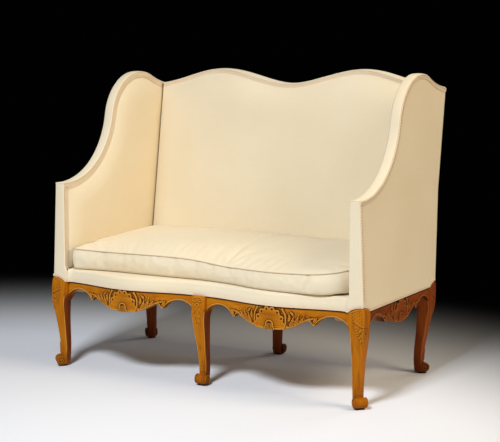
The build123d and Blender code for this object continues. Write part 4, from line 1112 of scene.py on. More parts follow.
def shell_relief(t, z):
    """Smooth dish with a lobed rim, a drilled hole in every lobe, fine ribs and a horseshoe at its root."""
    wide = t * SHELL_SQUEEZE
    up = z - SHELL_ROOT
    r = np.hypot(wide, up)
    turn = np.arctan2(wide, up)
    lobes = -np.cos(2 * math.pi * turn / RIB_PITCH)
    rim = SHELL_RADIUS * (0.95 + 0.05 * lobes)
    inside = np.clip((rim - r) / 1.6, 0, 1) * (np.abs(turn) < math.radians(100))
    near_root = np.clip((r - 14) / 6, 0, 1) * np.clip((46 - r) / 12, 0, 1)
    ribs = 0.6 * np.cos(4 * math.pi * turn / RIB_PITCH) * near_root
    dish = 1.6 + 3.4 * (r / SHELL_RADIUS) ** 2
    edge = ridge(np.abs(r - rim + 3.2), 3.2, 0.7)
    holes = np.clip(lobes, 0, 1) ** 4 * (np.abs(turn) < 3 * RIB_PITCH)
    drilled = 6.5 * np.exp(-((r - DRILL_SPOT * SHELL_RADIUS) / 3.4) ** 2) * holes
    carved = inside * np.clip(dish + ribs + edge - drilled, -0.6, None)
    splay = 5.0 * np.clip((4.0 - up) / 12.0, 0, 1)
    arch = np.abs(np.hypot(np.maximum(t - splay, 0), np.maximum(up - 8.0, 0)) - 13.0)
    horseshoe = ridge(arch, 2.8, 5.4) * (up > -12.0)
    finger_gap = np.abs(t - FINGER_PITCH * np.round(t / FINGER_PITCH))
    fingers = ridge(finger_gap, 2.2, 4.6) * (np.abs(t) < 11.0) * (up < 12.0)
    return np.maximum.reduce([carved, horseshoe, fingers])


print("shell of", SHELL_RADIUS, "mm radius")

# %% Relief of an apron
FILLET = 3.0  # half the width of the fillet along the lower edge
LEAF_HEIGHT = 4.6
TOOTH_START = 74.0
TOOTH_PITCH = 8.0
TOOTH_SPAN = (70.0, 122.0)
RIBBON = [(50, 246), (64, 256), (52, 270), (66, 284), (52, 296), (46, 306)]
LEAVES = [
    ([(70, 253), (82, 261), (84, 286)], 6.0),
    ([(83, 257), (96, 264), (101, 290)], 6.5),
    ([(97, 261), (110, 266), (118, 287)], 6.0),
    ([(110, 264), (122, 267), (134, 283)], 5.0),
    ([(66, 266), (74, 278), (68, 298)], 5.0),
    ([(84, 286), (80, 296), (70, 302)], 4.0),
    ([(160, 284), (152, 274), (148, 264)], 5.0),
    ([(120, 272), (136, 280), (160, 283)], 4.0),
]
PEARLS = [
    ((129, 267), 6.0), ((62, 250), 4.5), ((47, 306), 4.0),
    ((101, 291), 3.0), ((118, 289), 3.0), ((92, 297), 2.6)]


def apron_relief(t, z, low):
    """Height of the carving by the distance from the apron's middle, the height and its lower edge."""
    t = np.abs(t)
    above = z - low
    teeth = np.abs(((t - TOOTH_START) / TOOTH_PITCH) % 1 - 0.5) * (t > TOOTH_SPAN[0]) * (t < TOOTH_SPAN[1])
    strokes = [
        ridge(np.abs(above - FILLET), FILLET, 2.4),
        shell_relief(t, z),
        ridge(line_gap(t, z, bent(RIBBON, 28))[0], 3.4, 4.2),
        ridge(np.abs(above - 8.0), 5.5, 4.0) * np.clip(4 * teeth - 0.5, 0, 1)]
    strokes += [leaf(t, z, corners, width, LEAF_HEIGHT) for corners, width in LEAVES]
    strokes += [pearl(t, z, spot, radius, 0.3 * radius + 1.8) for spot, radius in PEARLS]
    return np.maximum.reduce(strokes) * np.clip((APRON_TOP - 0.5 - z) / 3.0, 0, 1)


print("apron carving:", 2 * len(LEAVES), "leaves,", 2 * len(PEARLS), "pearls and a shell")

# %% Four carved aprons
APRON_THICK = 28.0
BELOW_ALL = 150.0
BOARD_END = 0.6
END_FADE = 4.0
ARRIS_ANGLE = 62


def apron(name, node, length, to_place, finish):
    """Carved board. to_place turns (along, up, outward) into the maker's axes."""
    cols, rows = 420, 62
    tree = solid_tree(node)
    along = np.linspace(0.0, length, cols)
    low = []
    for s in np.clip(along, BOARD_END, length - BOARD_END):
        spot = to_place(np.array([s]), np.array([BELOW_ALL]), np.array([-APRON_THICK / 2]))[0]
        low.append(ray_hit(tree, spot, (0, 0, 1))[2])
    low = np.array(low)
    v = np.linspace(0, 1, rows)[:, None]
    z = low[None, :] + (APRON_TOP - SKIN_GAP - low)[None, :] * v
    s = np.broadcast_to(along[None, :], z.shape)
    ends = np.clip(np.minimum(s, length - s) / END_FADE, 0, 1)
    heights = apron_relief(s - length / 2, z, low[None, :]) * ends
    flat = np.full(z.size, -APRON_THICK)
    outer = to_place(s.ravel(), z.ravel(), heights.ravel()).reshape(rows, cols, 3)
    inner = to_place(s.ravel(), z.ravel(), flat).reshape(rows, cols, 3)
    points, faces = closed_skin(outer, inner)
    piece = make_piece(name, points, faces, finish, "carved_wood", [node], sharp=ARRIS_ANGLE)
    # The fillet is rubbed pale and carries a painted highlight; the top of the apron just under the braid
    # gets painted shadow.
    fillet = 0.8 * np.exp(-((z - low[None, :] - FILLET) / 2.6) ** 2)
    under_braid = np.clip((z - APRON_TOP + 8.0) / 5.0, 0, 1)
    mark_wax_wear_and_light(piece, heights, fillet, under_braid)
    print(name, "carved", round(float(heights.max()), 1), "mm deep, lowest", round(float(low.min())))


def front_board(side):
    """Places on a front apron, which bows."""
    def to_place(s, z, out):
        x = LEG_AXIS + s
        return np.stack([side * x, bowed_front(x) - out, z], axis=1)
    return to_place


def side_board(side):
    """Places on a side apron, which is flat."""
    def to_place(s, z, out):
        return np.stack([side * (HALF_WIDTH + out), BLOCK + s, z], axis=1)
    return to_place


for side, hand in HANDS:
    front, flank = "front_" + hand + "_apron", hand + "_side_apron"
    apron(front + "_carved", front, FRONT_APRON, front_board(side), FRONT_WOOD)
    apron(flank + "_carved", flank, SIDE_APRON, side_board(side), SIDE_WOOD)

# %% [markdown]
# ## Carving on the legs
# A corner knee has a dotted field under an arched rim, and a shield with a leaf that hangs from it.
# The front middle knee has two scrolls over a ring. Every foot ends in a scroll with a spiral on both ends,
# and most have a small leaf above it. The legs keep their solids. The carving is a thin skin laid on them:
# a grid is cast onto the leg along its outward direction, raised by the relief and sunk a little into the
# wood round its rim. So only the carved part needs fine points, and the leg's own lines stay.

# %% Knees and foot leaves
DOT_PITCH = 11.0
DOT_RADIUS = 2.1
DOT_DEPTH = 1.2
FIELD_HEIGHT = 2.2
RIM_BELOW = 3.6  # rim of the field, below the arch
FIELD_BELOW = 7.0
SHIELD_LEVEL = 280.0
SHIELD_DIP = 8.0
RING_LEVEL = 285.0
KNEE_PEARL = (2.8, 2.6)  # radius and height
CORNER_PEARLS = ((22, 268), (19, 260), (17, 252), (15, 244), (13, 236))
MIDDLE_PEARLS = ((9, 303), (17, 286), (18, 277), (0, 197))
MIDDLE_SCROLL = [(4, 311), (20, 312), (20, 294), (7, 296)]


def hanging_leaf(across, up, top, bottom, width):
    """Leaf drop from a top to a bottom height: a middle blade and three pairs of side blades."""
    aside = np.abs(across)
    drop = top - bottom
    blades = [leaf(aside, up, [(0, top), (0, (top + bottom) / 2), (0, bottom)], width, 3.4)]
    for start, spread in ((0.02, 1.9), (0.30, 1.5), (0.52, 1.1)):
        z = top - drop * start
        spine = [(1.5, z), (width * spread, z - 0.10 * drop), (width * spread * 1.15, z - 0.32 * drop)]
        blades.append(leaf(aside, up, spine, 0.62 * width, 2.8))
    return np.maximum.reduce(blades)


def dotted(across, z):
    """Field with a sunk dot in every diamond of a lattice."""
    a = (across + z) / DOT_PITCH
    b = (across - z) / DOT_PITCH
    gap = np.hypot(a - np.round(a), b - np.round(b)) * DOT_PITCH * HALF_ROOT
    return FIELD_HEIGHT - DOT_DEPTH * np.exp(-(gap / DOT_RADIUS) ** 2)


def corner_knee(across, z):
    """Arched rim round a dotted field, over a shield and a leaf drop with pearls beside it."""
    arch = knee_arch(across)
    shield = SHIELD_LEVEL - SHIELD_DIP * np.cos(across * math.pi / 30.0)
    strokes = [
        np.where((z < arch - FIELD_BELOW) & (z > shield), dotted(across, z), 0.0),
        ridge(np.abs(z - arch + RIM_BELOW), 3.0, 3.0),
        ridge(np.abs(z - shield), 2.6, 3.0),
        hanging_leaf(across, z, top=268.0, bottom=208.0, width=6.0)]
    strokes += [pearl(np.abs(across), z, spot, *KNEE_PEARL) for spot in CORNER_PEARLS]
    return np.maximum.reduce(strokes)


def middle_knee(across, z):
    """Two scrolls over a ring, with a leaf drop below it."""
    aside = np.abs(across)
    strokes = [
        ridge(line_gap(aside, z, bent(MIDDLE_SCROLL, 20))[0], 2.8, 3.2),
        ridge(np.abs(np.hypot(across, z - RING_LEVEL) - 5.5), 2.4, 3.4),
        hanging_leaf(across, z, top=277.0, bottom=204.0, width=6.5)]
    strokes += [pearl(aside, z, spot, *KNEE_PEARL) for spot in MIDDLE_PEARLS]
    return np.maximum.reduce(strokes)


def foot_leaf(across, z):
    """Small leaf of three blades above a scroll foot."""
    aside = np.abs(across)
    middle = leaf(aside, z, [(0, 44), (0, 62), (0, 88)], 6.0, 2.6)
    return np.maximum(middle, leaf(aside, z, [(4, 44), (10, 54), (9, 72)], 4.0, 2.2))


print("knee carvings for corner and middle legs")

# %% Carvings cast onto the legs
# Heights along a leg, its thickness there, and how far a corner leg's middle sways outward
LEG_LEVELS = [42.0, 66.0, 149.0, 232.0, 337.0]
LEG_SIZES = [31.0, 31.0, 37.0, 48.0, 56.0]
SWAYS = {"front": [5.0, 3.0, 7.8, 13.7, 2.8], "rear": [-14.0, -16.0, -5.2, 4.7, 2.8]}
MIDDLE_SWAY = [-10.0, -12.5, -3.0, 8.0, 2.0]
ARRIS_ROUND = 3.0
RIM_POINTS = 4  # points from a carving's edge to its full height
RIM_SUNK = -1.2
RIM_RAISED = 0.5
SKIN_DEPTH = 2.5
ROW_STEP = 1.1
RAY_START = 120.0  # outside of every leg, from its middle
CARVING_MARKS = 0.6


def level_way(way):
    """Level direction of length 1."""
    return np.array([way[0], way[1], 0.0]) / math.hypot(*way)


def leg_reach(z, corner):
    """Half the width of a leg that a carving may cover, seen along the leg's outward direction."""
    size = np.interp(z, LEG_LEVELS, LEG_SIZES)
    return (size * HALF_ROOT if corner else size / 2) - 2 * ARRIS_ROUND


def leg_carving(name, node, axis, way, span, relief):
    """Thin carved skin cast onto a leg, seen along its outward direction and sunk in round its rim."""
    low, high = span
    cols, rows = 76, int((high - low) / ROW_STEP)
    tree = solid_tree(node)
    corner = way[0] != 0
    out = level_way(way)
    sideways = np.array([-out[1], out[0], 0.0])
    outer = np.zeros((rows, cols, 3))
    heights = np.zeros((rows, cols))
    for r, z in enumerate(np.linspace(low, high, rows)):
        across = np.linspace(-1, 1, cols) * leg_reach(z, corner)
        for c in range(cols):
            spot = np.array([axis[0], axis[1], z]) + RAY_START * out + across[c] * sideways
            outer[r, c] = ray_hit(tree, spot, tuple(-out))
        heights[r] = relief(across, np.full(cols, z))
    rim = np.minimum(np.arange(rows), np.arange(rows)[::-1])[:, None]
    rim = np.minimum(rim, np.minimum(np.arange(cols), np.arange(cols)[::-1])[None, :])
    share = np.clip(rim / RIM_POINTS, 0, 1)
    raised = RIM_SUNK + (RIM_RAISED - RIM_SUNK + heights) * share
    inner = outer - SKIN_DEPTH * out
    outer = outer + raised[..., None] * out
    points, faces = closed_skin(outer, inner)
    piece = make_piece(name, points, faces, leg_wood(node), "carved_wood")
    mark_wax_wear_and_light(piece, heights, strength=CARVING_MARKS)


print("carvings cover", 2 * leg_reach(LEG_LEVELS[-1], True), "mm at the top of a corner leg")

# %% Volutes of the scroll feet
FOOT_PUSH = {"front": 24.0, "rear": 0.0, "middle": 6.0}
FOOT_HEIGHT = 22.0
VOLUTE_RADIUS = 16.8
VOLUTE_FACE = 20.3  # leg's middle to the face of a volute
VOLUTE_DEPTH = 3.0
VOLUTE_TURNS = 2.2
VOLUTE_POINTS = 44
BAND_HALF = 0.32
EYE_RADIUS = 0.22
EYE_HEIGHT = 3.2


def foot_volutes(name, axis, way, push):
    """Carved spirals on the two ends of a scroll foot: square grids pressed round, with a winding band."""
    out = level_way(way)
    sideways = np.array([-out[1], out[0], 0.0])
    middle = np.array([axis[0], axis[1], FOOT_HEIGHT]) + push * out
    evens = np.linspace(-1, 1, VOLUTE_POINTS)
    a, b = np.meshgrid(evens, evens)
    a, b = a * np.sqrt(1 - b * b / 2), b * np.sqrt(1 - a * a / 2)
    r = np.hypot(a, b)
    wound = (r * VOLUTE_TURNS - np.arctan2(b, a) / (2 * math.pi)) % 1
    band = VOLUTE_DEPTH * np.sqrt(np.clip(1 - ((wound - 0.5) / BAND_HALF) ** 2, 0, None))
    heights = np.maximum(band * np.clip((1 - r) / 0.06, 0, 1), ridge(r, EYE_RADIUS, EYE_HEIGHT))
    flat = VOLUTE_RADIUS * (a[..., None] * out + b[..., None] * np.array([0, 0, 1.0]))
    for side, end in ((1, "_left_volute"), (-1, "_right_volute")):
        outer = middle + flat + side * (VOLUTE_FACE + heights[..., None]) * sideways
        inner = middle + flat + side * (VOLUTE_FACE - VOLUTE_DEPTH) * sideways
        points, faces = closed_skin(outer, inner)
        mark_wax_wear_and_light(make_piece(name + end, points, faces, leg_wood(name), "carved_wood"), heights)


print("volutes of", VOLUTE_TURNS, "turns,", 2 * VOLUTE_RADIUS, "mm wide")

# %% Carve the legs
LEG_ROWS = (("front", LEG_AXIS, -1), ("rear", SEAT_DEPTH - LEG_AXIS, 1))  # end, depth, sign of the way out
CORNER_SPAN = (202.0, 328.0)
MIDDLE_SPAN = (192.0, 313.0)
FOOT_SPAN = (42.0, 92.0)
for side, hand in HANDS:
    for end, y, ahead in LEG_ROWS:
        node = end + "_" + hand + "_leg"
        axis = (side * (HALF_WIDTH - LEG_AXIS), y)
        way = (side, ahead)
        leg_carving(node + "_knee_carving", node, axis, way, CORNER_SPAN, corner_knee)
        leg_carving(node + "_foot_leaf", node, axis, way, FOOT_SPAN, foot_leaf)
        foot_volutes(node, axis, way, FOOT_PUSH[end])
for end, y, ahead in LEG_ROWS:
    foot_volutes(end + "_middle_leg", (0.0, y), (0, ahead), FOOT_PUSH["middle"])
node = "front_middle_leg"
leg_carving(node + "_knee_carving", node, (0.0, LEG_AXIS), (0, -1), MIDDLE_SPAN, middle_knee)
leg_carving(node + "_foot_leaf", node, (0.0, LEG_AXIS), (0, -1), FOOT_SPAN, foot_leaf)
print("leg carvings done")

# %% [markdown]
# ## Painted shade on the sides of the front legs
# The faces of the front legs are honey; the sides that face the next leg, away from the light, get the dark
# red painted shade.
# Painted points would need a finer mesh than the legs have, so the finish works the side out from the place.
# A leg sways as it goes down, so its middle and its thickness are read from ramps of the height.

# %% Sides of the front legs
FACE_SHARE = 0.84
SHADE_EDGE = 2.0
SHADE_FADE = (276.0, 256.0)  # heights of no painted shade and of full painted shade


def by_height(finish, z, values):
    """Value in metres that follows a table over the levels of a leg."""
    top = LEG_LEVELS[-1]
    stops = [(level / top, (value / top,) * 3) for level, value in zip(LEG_LEVELS, values)]
    return finish.ramp(z * (1 / (top * MM)), stops) * (top * MM)


def side_shade(side):
    """Where a front leg gets painted shade: towards the middle, or on both sides of the middle leg."""
    def share(finish):
        x, y, z = finish.axes()
        if side:
            sway = by_height(finish, z, SWAYS["front"])
            inward = HALF_ROOT * sway + (HALF_WIDTH - LEG_AXIS) * MM - side * x
        else:
            inward = finish.node("ShaderNodeMath", {"operation": "ABSOLUTE"}, {0: x})
        past = inward - 0.5 * FACE_SHARE * by_height(finish, z, LEG_SIZES)
        turned = finish.node("ShaderNodeMapRange", {}, {0: past, 1: 0.0, 2: SHADE_EDGE * MM})
        none, full = SHADE_FADE
        return turned * finish.node("ShaderNodeMapRange", {}, {0: z, 1: none * MM, 2: full * MM})
    return share


for side, hand in ((1, "right"), (0, "middle"), (-1, "left")):
    node = "front_" + hand + "_leg"
    dress(node, wood(node + "_wood", HONEY, UPRIGHT_GRAIN, WAXED, side_shade(side)))
print("front legs polished")

# %% [markdown]
# ## Webbing and hessian
# Under the stuffing, jute straps are strained over the frame and woven over and under each other,
# with hessian on top. The straps' places come from the solids, one box for each strap.
# Both are in plain sight from below. A woven texture would have no depth there, so each strap is a thin skin
# that rises and dips at every crossing.

# %% Places of the straps
STRAP_WELD = 0.05


def strap_boxes(node):
    """Corners of each separate strap of a node, in the maker's axes."""
    shape = bmesh.new()
    shape.from_mesh(nodes[node].data)
    bmesh.ops.remove_doubles(shape, verts=shape.verts, dist=STRAP_WELD * MM)
    boxes = []
    left = set(shape.verts)
    while left:
        queue = [left.pop()]
        found = []
        while queue:
            vert = queue.pop()
            found.append(vert.co)
            for edge in vert.link_edges:
                other = edge.other_vert(vert)
                if other in left:
                    left.remove(other)
                    queue.append(other)
        spots = np.array(found) / MM
        spots[:, 1] -= FRONT / MM
        boxes.append((spots.min(axis=0), spots.max(axis=0)))
    shape.free()
    return boxes


def in_order(boxes, axis):
    """Straps sorted along an axis, and the middles of them there."""
    boxes = sorted(boxes, key=lambda box: box[0][axis])
    return boxes, [(low[axis] + high[axis]) / 2 for low, high in boxes]


print("straps on the back:", len(strap_boxes("back_webbing")))

# %% Woven straps
STRAP_THICK = 1.5
STRAP_FACES = (0.45 * STRAP_THICK, -0.45 * STRAP_THICK)  # crossing straps stay just clear of each other
STRAP_WAVE = 0.5 * STRAP_THICK
STRAP_COLS = 7


def woven_strap(box, run_axis, cross_axis, count, crossings, first):
    """Places along and across a strap, and how far it goes over (+) or under (-) each crossing strap."""
    low, high = box
    run = np.linspace(low[run_axis], high[run_axis], count)[:, None] + np.zeros((1, STRAP_COLS))
    across = np.linspace(low[cross_axis], high[cross_axis], STRAP_COLS)[None, :] + np.zeros((count, 1))
    signs = [first * (-1) ** i for i in range(len(crossings))]
    return run, across, STRAP_WAVE * np.interp(run, crossings, signs)


def strap_skins(runs):
    """Points and faces of several straps together. Each run is (outer, inner)."""
    points, faces, start = [], [], 0
    for outer, inner in runs:
        some, quads = closed_skin(outer, inner)
        points.append(some)
        faces += [tuple(i + start for i in quad) for quad in quads]
        start += len(some)
    return np.concatenate(points), faces


print("straps rise and dip by", STRAP_WAVE, "mm")

# %% Straps of the seat and the back
STRAP_TRIM = 0.5
STRAP_WIDEST = 80.0  # a strap on the back that is wider runs level


def seat_straps():
    long_boxes, long_x = in_order(strap_boxes("seat_webbing_lengthwise"), 0)
    cross_boxes, cross_y = in_order(strap_boxes("seat_webbing_crosswise"), 1)
    level = RAIL_TOP + STRAP_THICK
    skins = {"seat_webbing_lengthwise": [], "seat_webbing_crosswise": []}
    for i, box in enumerate(long_boxes):
        y, x, over = woven_strap(box, 1, 0, 70, cross_y, (-1) ** i)
        pair = [np.stack([x, y, level + over + h], axis=2) for h in STRAP_FACES]
        skins["seat_webbing_lengthwise"].append(pair)
    for i, box in enumerate(cross_boxes):
        x, y, over = woven_strap(box, 0, 1, 140, long_x, (-1) ** i)
        pair = [np.stack([x, y, level - over + h], axis=2) for h in STRAP_FACES]
        skins["seat_webbing_crosswise"].append(pair)
    for node, runs in skins.items():
        make_piece(node + "_straps", *strap_skins(runs), JUTE, "webbing", [node])
    print("seat straps:", len(long_boxes), "and", len(cross_boxes))


def back_straps():
    trim = np.array([0, 0, STRAP_TRIM])
    boxes = [(low + trim, high - trim) for low, high in strap_boxes("back_webbing")]
    tall, tall_x = in_order([b for b in boxes if b[1][0] - b[0][0] < STRAP_WIDEST], 0)
    wide, wide_z = in_order([b for b in boxes if b[1][0] - b[0][0] >= STRAP_WIDEST], 2)
    level = FRAME_N + STRAP_THICK
    skins = []
    for i, box in enumerate(tall):
        z, x, over = woven_strap(box, 2, 0, 120, wide_z, (-1) ** i)
        skins.append([np.stack([x, back_y(z, level - over + h), z], axis=2) for h in STRAP_FACES])
    for i, box in enumerate(wide):
        x, z, over = woven_strap(box, 0, 2, 120, tall_x, (-1) ** i)
        skins.append([np.stack([x, back_y(z, level + over + h), z], axis=2) for h in STRAP_FACES])
    make_piece("back_webbing_straps", *strap_skins(skins), JUTE, "webbing", ["back_webbing"])
    print("back straps:", len(tall), "and", len(wide))


seat_straps()
back_straps()

# %% Hessian
HESSIAN_THICK = 0.8
HESSIAN_LIFT = 0.15
HESSIAN_EDGE = 0.2
HESSIAN_SLACK = 0.1
BEFORE_ALL = -400.0
BEHIND_ALL = 1200.0
TACKED_FRONT = 7.0


def slack(along, across, long_wave, short_wave):
    """Small unevenness of loosely woven cloth."""
    return HESSIAN_SLACK * np.sin(along / long_wave) * np.sin(across / short_wave)


def seat_hessian():
    tree = solid_tree("seat_hessian")
    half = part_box("seat_hessian")[1].x / MM - HESSIAN_EDGE
    level = RAIL_TOP + 2 * STRAP_THICK
    x = np.linspace(-half, half, 160)
    front = np.array([ray_hit(tree, (value, BEFORE_ALL, level + 0.5), (0, 1, 0))[1] for value in x])
    rear = np.array([ray_hit(tree, (value, BEHIND_ALL, level + 0.5), (0, -1, 0))[1] for value in x])
    y = front[None, :] + (rear - front)[None, :] * np.linspace(0, 1, 60)[:, None]
    wide = np.broadcast_to(x[None, :], y.shape)
    z = level + HESSIAN_LIFT + slack(wide, y, 22.0, 15.0)
    outer = np.stack([wide, y, z + HESSIAN_THICK - HESSIAN_LIFT], axis=2)
    inner = np.stack([wide, y, z], axis=2)
    stretched_piece("seat_hessian_cloth", outer, inner, "seat_hessian", HESSIAN, "hessian")


def back_hessian():
    x = np.linspace(-BACK_HALF + HESSIAN_EDGE, BACK_HALF - HESSIAN_EDGE, 130)
    top = crest(x) - CLOTH - BRAID_WIDTH
    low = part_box("back_hessian")[0].z / MM
    z = low + (top - low)[None, :] * np.linspace(0, 1, 70)[:, None]
    wide = np.broadcast_to(x[None, :], z.shape)
    n = BACK_BASE_N - HESSIAN_THICK - HESSIAN_SLACK + slack(wide, z, 24.0, 19.0)
    outer = np.stack([wide, back_y(z, n + HESSIAN_THICK), z], axis=2)
    inner = np.stack([wide, back_y(z, n), z], axis=2)
    stretched_piece("back_hessian_cloth", outer, inner, "back_hessian", HESSIAN, "hessian")


def wing_hessian(side, name, node):
    cols, rows = 110, 60
    edge = evenly(wing_line(CLOTH + BRAID_WIDTH, start=TACKED_FRONT, plane=BACK_BASE_N), cols)
    low = DECK_TOP + CLEAR
    rear_low = float(back_y(low, BACK_BASE_N))
    share = (edge[:, 0] - edge[0, 0]) / (edge[-1, 0] - edge[0, 0])
    base = np.stack([edge[0, 0] + (rear_low - edge[0, 0]) * share, np.full(cols, low)], axis=1)
    spread = base[None] + (edge - base)[None] * np.linspace(0, 1, rows)[:, None, None]
    y, z = spread[..., 0], spread[..., 1]
    x = WING_BASE_X + HESSIAN_LIFT + slack(y, z, 21.0, 17.0)
    outer = mirror_side(np.stack([x, y, z], axis=2), side)
    inner = mirror_side(np.stack([x + HESSIAN_THICK - HESSIAN_SLACK, y, z], axis=2), side)
    stretched_piece(name, outer, inner, node, HESSIAN, "hessian")


seat_hessian()
back_hessian()
for side, hand in HANDS:
    wing_hessian(side, hand + "_wing_hessian_cloth", hand + "_wing_hessian")

# %% [markdown]
# ## Braid
# A narrow gimp braid, glued and pinned, hides every tacked edge: along the crest, on both sides of the wing
# borders, down the arm fronts and round the seat base, where it rises over each knee.
# Gimp is cords plaited on a flat ground. Geometry Nodes lay it along a path: a flat ribbon, and three rows of
# short twists, the outer rows along the path and the middle row slanting.
# The paths carry an outward direction, so the braid lies flat on whatever it is glued to.

# %% Words for plans


def plan_node(tree, kind, settings, inputs):
    """One node of a plan: settings first, then values and links."""
    made = tree.nodes.new(kind)
    for key, value in settings.items():
        setattr(made, key, value)
    for key, value in inputs.items():
        if isinstance(value, bpy.types.NodeSocket):
            tree.links.new(value, made.inputs[key])
        else:
            made.inputs[key].default_value = value
    return made.outputs[0]


def new_plan(name, sockets):
    """A plan with named inputs: tree, identifiers, outputs of the input node and a way to add nodes."""
    tree = bpy.data.node_groups.new(name, "GeometryNodeTree")
    tree.interface.new_socket("Path", in_out="INPUT", socket_type="NodeSocketGeometry")
    names = {}
    for label, kind in sockets:
        names[label] = tree.interface.new_socket(label, in_out="INPUT", socket_type=kind).identifier
    tree.interface.new_socket("Piece", in_out="OUTPUT", socket_type="NodeSocketGeometry")
    return tree, names, tree.nodes.new("NodeGroupInput").outputs, functools.partial(plan_node, tree)


def end_plan(tree, geometry, yarn):
    """Ends a plan: instances made real, and the yarn's finish."""
    real = plan_node(tree, "GeometryNodeRealizeInstances", {}, {0: geometry})
    dyed = plan_node(tree, "GeometryNodeSetMaterial", {}, {"Geometry": real, "Material": yarn})
    tree.links.new(dyed, tree.nodes.new("NodeGroupOutput").inputs[0])


print("a plan has named inputs, nodes and an end")

# %% Pieces along paths


def path_mesh(name, paths, closed=False):
    """Mesh of edges along paths. Each path is (points, outward directions)."""
    points, edges, ways = [], [], []
    for line, out in paths:
        start = len(points)
        points += place(line).tolist()
        ways += np.broadcast_to(np.array(out, float), np.shape(line)).tolist()
        edges += [(start + i, start + i + 1) for i in range(len(line) - 1)]
        if closed:
            edges.append((len(points) - 1, start))
    mesh = bpy.data.meshes.new(name)
    mesh.from_pydata(points, edges, [])
    layer = mesh.attributes.new("outward", "FLOAT_VECTOR", "POINT")
    layer.data.foreach_set("vector", np.array(ways).ravel())
    return mesh


def planned_piece(name, mesh, plan, values, replaced=(), body="settee"):
    """Runs a plan on a path and keeps the result as a plain mesh."""
    tree, names = plan
    rough = bpy.data.objects.new(name + "_path", mesh)
    scene.collection.objects.link(rough)
    modifier = rough.modifiers.new("plan", "NODES")
    modifier.node_group = tree
    for label, value in values.items():
        modifier[names[label]] = value
    depsgraph = bpy.context.evaluated_depsgraph_get()
    made = bpy.data.meshes.new_from_object(rough.evaluated_get(depsgraph))
    bpy.data.objects.remove(rough)
    made.name = name
    for extra in [a.name for a in made.attributes if a.name == "outward"]:
        made.attributes.remove(made.attributes[extra])
    made.polygons.foreach_set("use_smooth", [len(face.vertices) == 3 for face in made.polygons])
    piece = bpy.data.objects.new(name, made)
    scene.collection.objects.link(piece)
    return settle(piece, replaced, body)


print("plans can run along paths")

# %% Plans of the braid and of a cord
TILE_LAP = 1.12  # a tile of the ground laps over the next one
TWIST_ROWS = ((-1.0, 0.0), (0.0, 0.75), (1.0, 0.0))  # place of each row, and the slant of its twists
CORD_SIDES = 8


def braid_plan():
    lengths = ("Pitch", "Row gap", "Ground width", "Ground thickness")
    sockets = [(label, "NodeSocketFloat") for label in lengths]
    sockets += [("Twist size", "NodeSocketVector"), ("Yarn", "NodeSocketMaterial")]
    tree, names, given, add = new_plan("gimp_plan", sockets)
    curve = add("GeometryNodeMeshToCurve", {}, {0: given["Path"]})
    even = add("GeometryNodeResampleCurve", {"mode": "LENGTH"}, {"Curve": curve, "Length": given["Pitch"]})
    outward = add("GeometryNodeInputNamedAttribute", {"data_type": "FLOAT_VECTOR"}, {"Name": "outward"})
    tangent = add("GeometryNodeInputTangent", {}, {})
    across = add("ShaderNodeVectorMath", {"operation": "CROSS_PRODUCT"}, {0: outward, 1: tangent})
    axes = {"primary_axis": "Z", "secondary_axis": "X"}
    turned = add("FunctionNodeAxesToRotation", axes, {0: outward, 1: tangent})
    joined = tree.nodes.new("GeometryNodeJoinGeometry")
    for row, slant in TWIST_ROWS:
        gap = add("ShaderNodeMath", {"operation": "MULTIPLY"}, {0: given["Row gap"], 1: row})
        shift = add("ShaderNodeVectorMath", {"operation": "SCALE"}, {0: across, "Scale": gap})
        moved = add("GeometryNodeSetPosition", {}, {"Geometry": even, "Offset": shift})
        ball = add("GeometryNodeMeshIcoSphere", {}, {"Radius": 1.0, "Subdivisions": 1})
        twist = add("GeometryNodeTransform", {}, {"Geometry": ball, "Scale": given["Twist size"]})
        twist = add("GeometryNodeTransform", {}, {"Geometry": twist, "Rotation": (0.0, 0.0, slant)})
        spots = {"Points": moved, "Instance": twist, "Rotation": turned}
        tree.links.new(add("GeometryNodeInstanceOnPoints", {}, spots), joined.inputs[0])
    corners = {"Size": (1.0, 1.0, 1.0), "Vertices X": 2, "Vertices Y": 2, "Vertices Z": 2}
    ground = add("GeometryNodeMeshCube", {}, corners)
    length = add("ShaderNodeMath", {"operation": "MULTIPLY"}, {0: given["Pitch"], 1: TILE_LAP})
    sizes = {0: length, 1: given["Ground width"], 2: given["Ground thickness"]}
    size = add("ShaderNodeCombineXYZ", {}, sizes)
    tile = add("GeometryNodeTransform", {}, {"Geometry": ground, "Scale": size})
    spots = {"Points": even, "Instance": tile, "Rotation": turned}
    tree.links.new(add("GeometryNodeInstanceOnPoints", {}, spots), joined.inputs[0])
    end_plan(tree, joined.outputs[0], given["Yarn"])
    return tree, names


def cord_plan():
    sockets = [("Radius", "NodeSocketFloat"), ("Yarn", "NodeSocketMaterial")]
    tree, names, given, add = new_plan("cord_plan", sockets)
    curve = add("GeometryNodeMeshToCurve", {}, {0: given["Path"]})
    circle = {"Resolution": CORD_SIDES, "Radius": given["Radius"]}
    ring = add("GeometryNodeCurvePrimitiveCircle", {}, circle)
    tube = add("GeometryNodeCurveToMesh", {}, {"Curve": curve, "Profile Curve": ring, "Fill Caps": True})
    end_plan(tree, tube, given["Yarn"])
    return tree, names


GIMP_PLAN = braid_plan()
CORD_PLAN = cord_plan()
print("plans:", GIMP_PLAN[0].name, "and", CORD_PLAN[0].name)

# %% Braid of any width
GIMP_PITCH = 4.4
ROW_SHARE = 0.35  # of the braid's width
TWIST_SHARE = 0.127
TWIST_LENGTH = 2.5
TWIST_HEIGHT = 1.5
GROUND_EDGE = 1.0
GROUND_THICK = 1.6


def lay_braid(name, paths, width, replaced=()):
    """Braid of a width along paths."""
    values = {
        "Pitch": GIMP_PITCH * MM,
        "Row gap": ROW_SHARE * width * MM,
        "Twist size": (TWIST_LENGTH * MM, TWIST_SHARE * width * MM, TWIST_HEIGHT * MM),
        "Ground width": (width - GROUND_EDGE) * MM,
        "Ground thickness": GROUND_THICK * MM,
        "Yarn": GIMP}
    return planned_piece(name, path_mesh(name + "_path", paths), GIMP_PLAN, values, replaced)


print("braid has a twist every", GIMP_PITCH, "mm")

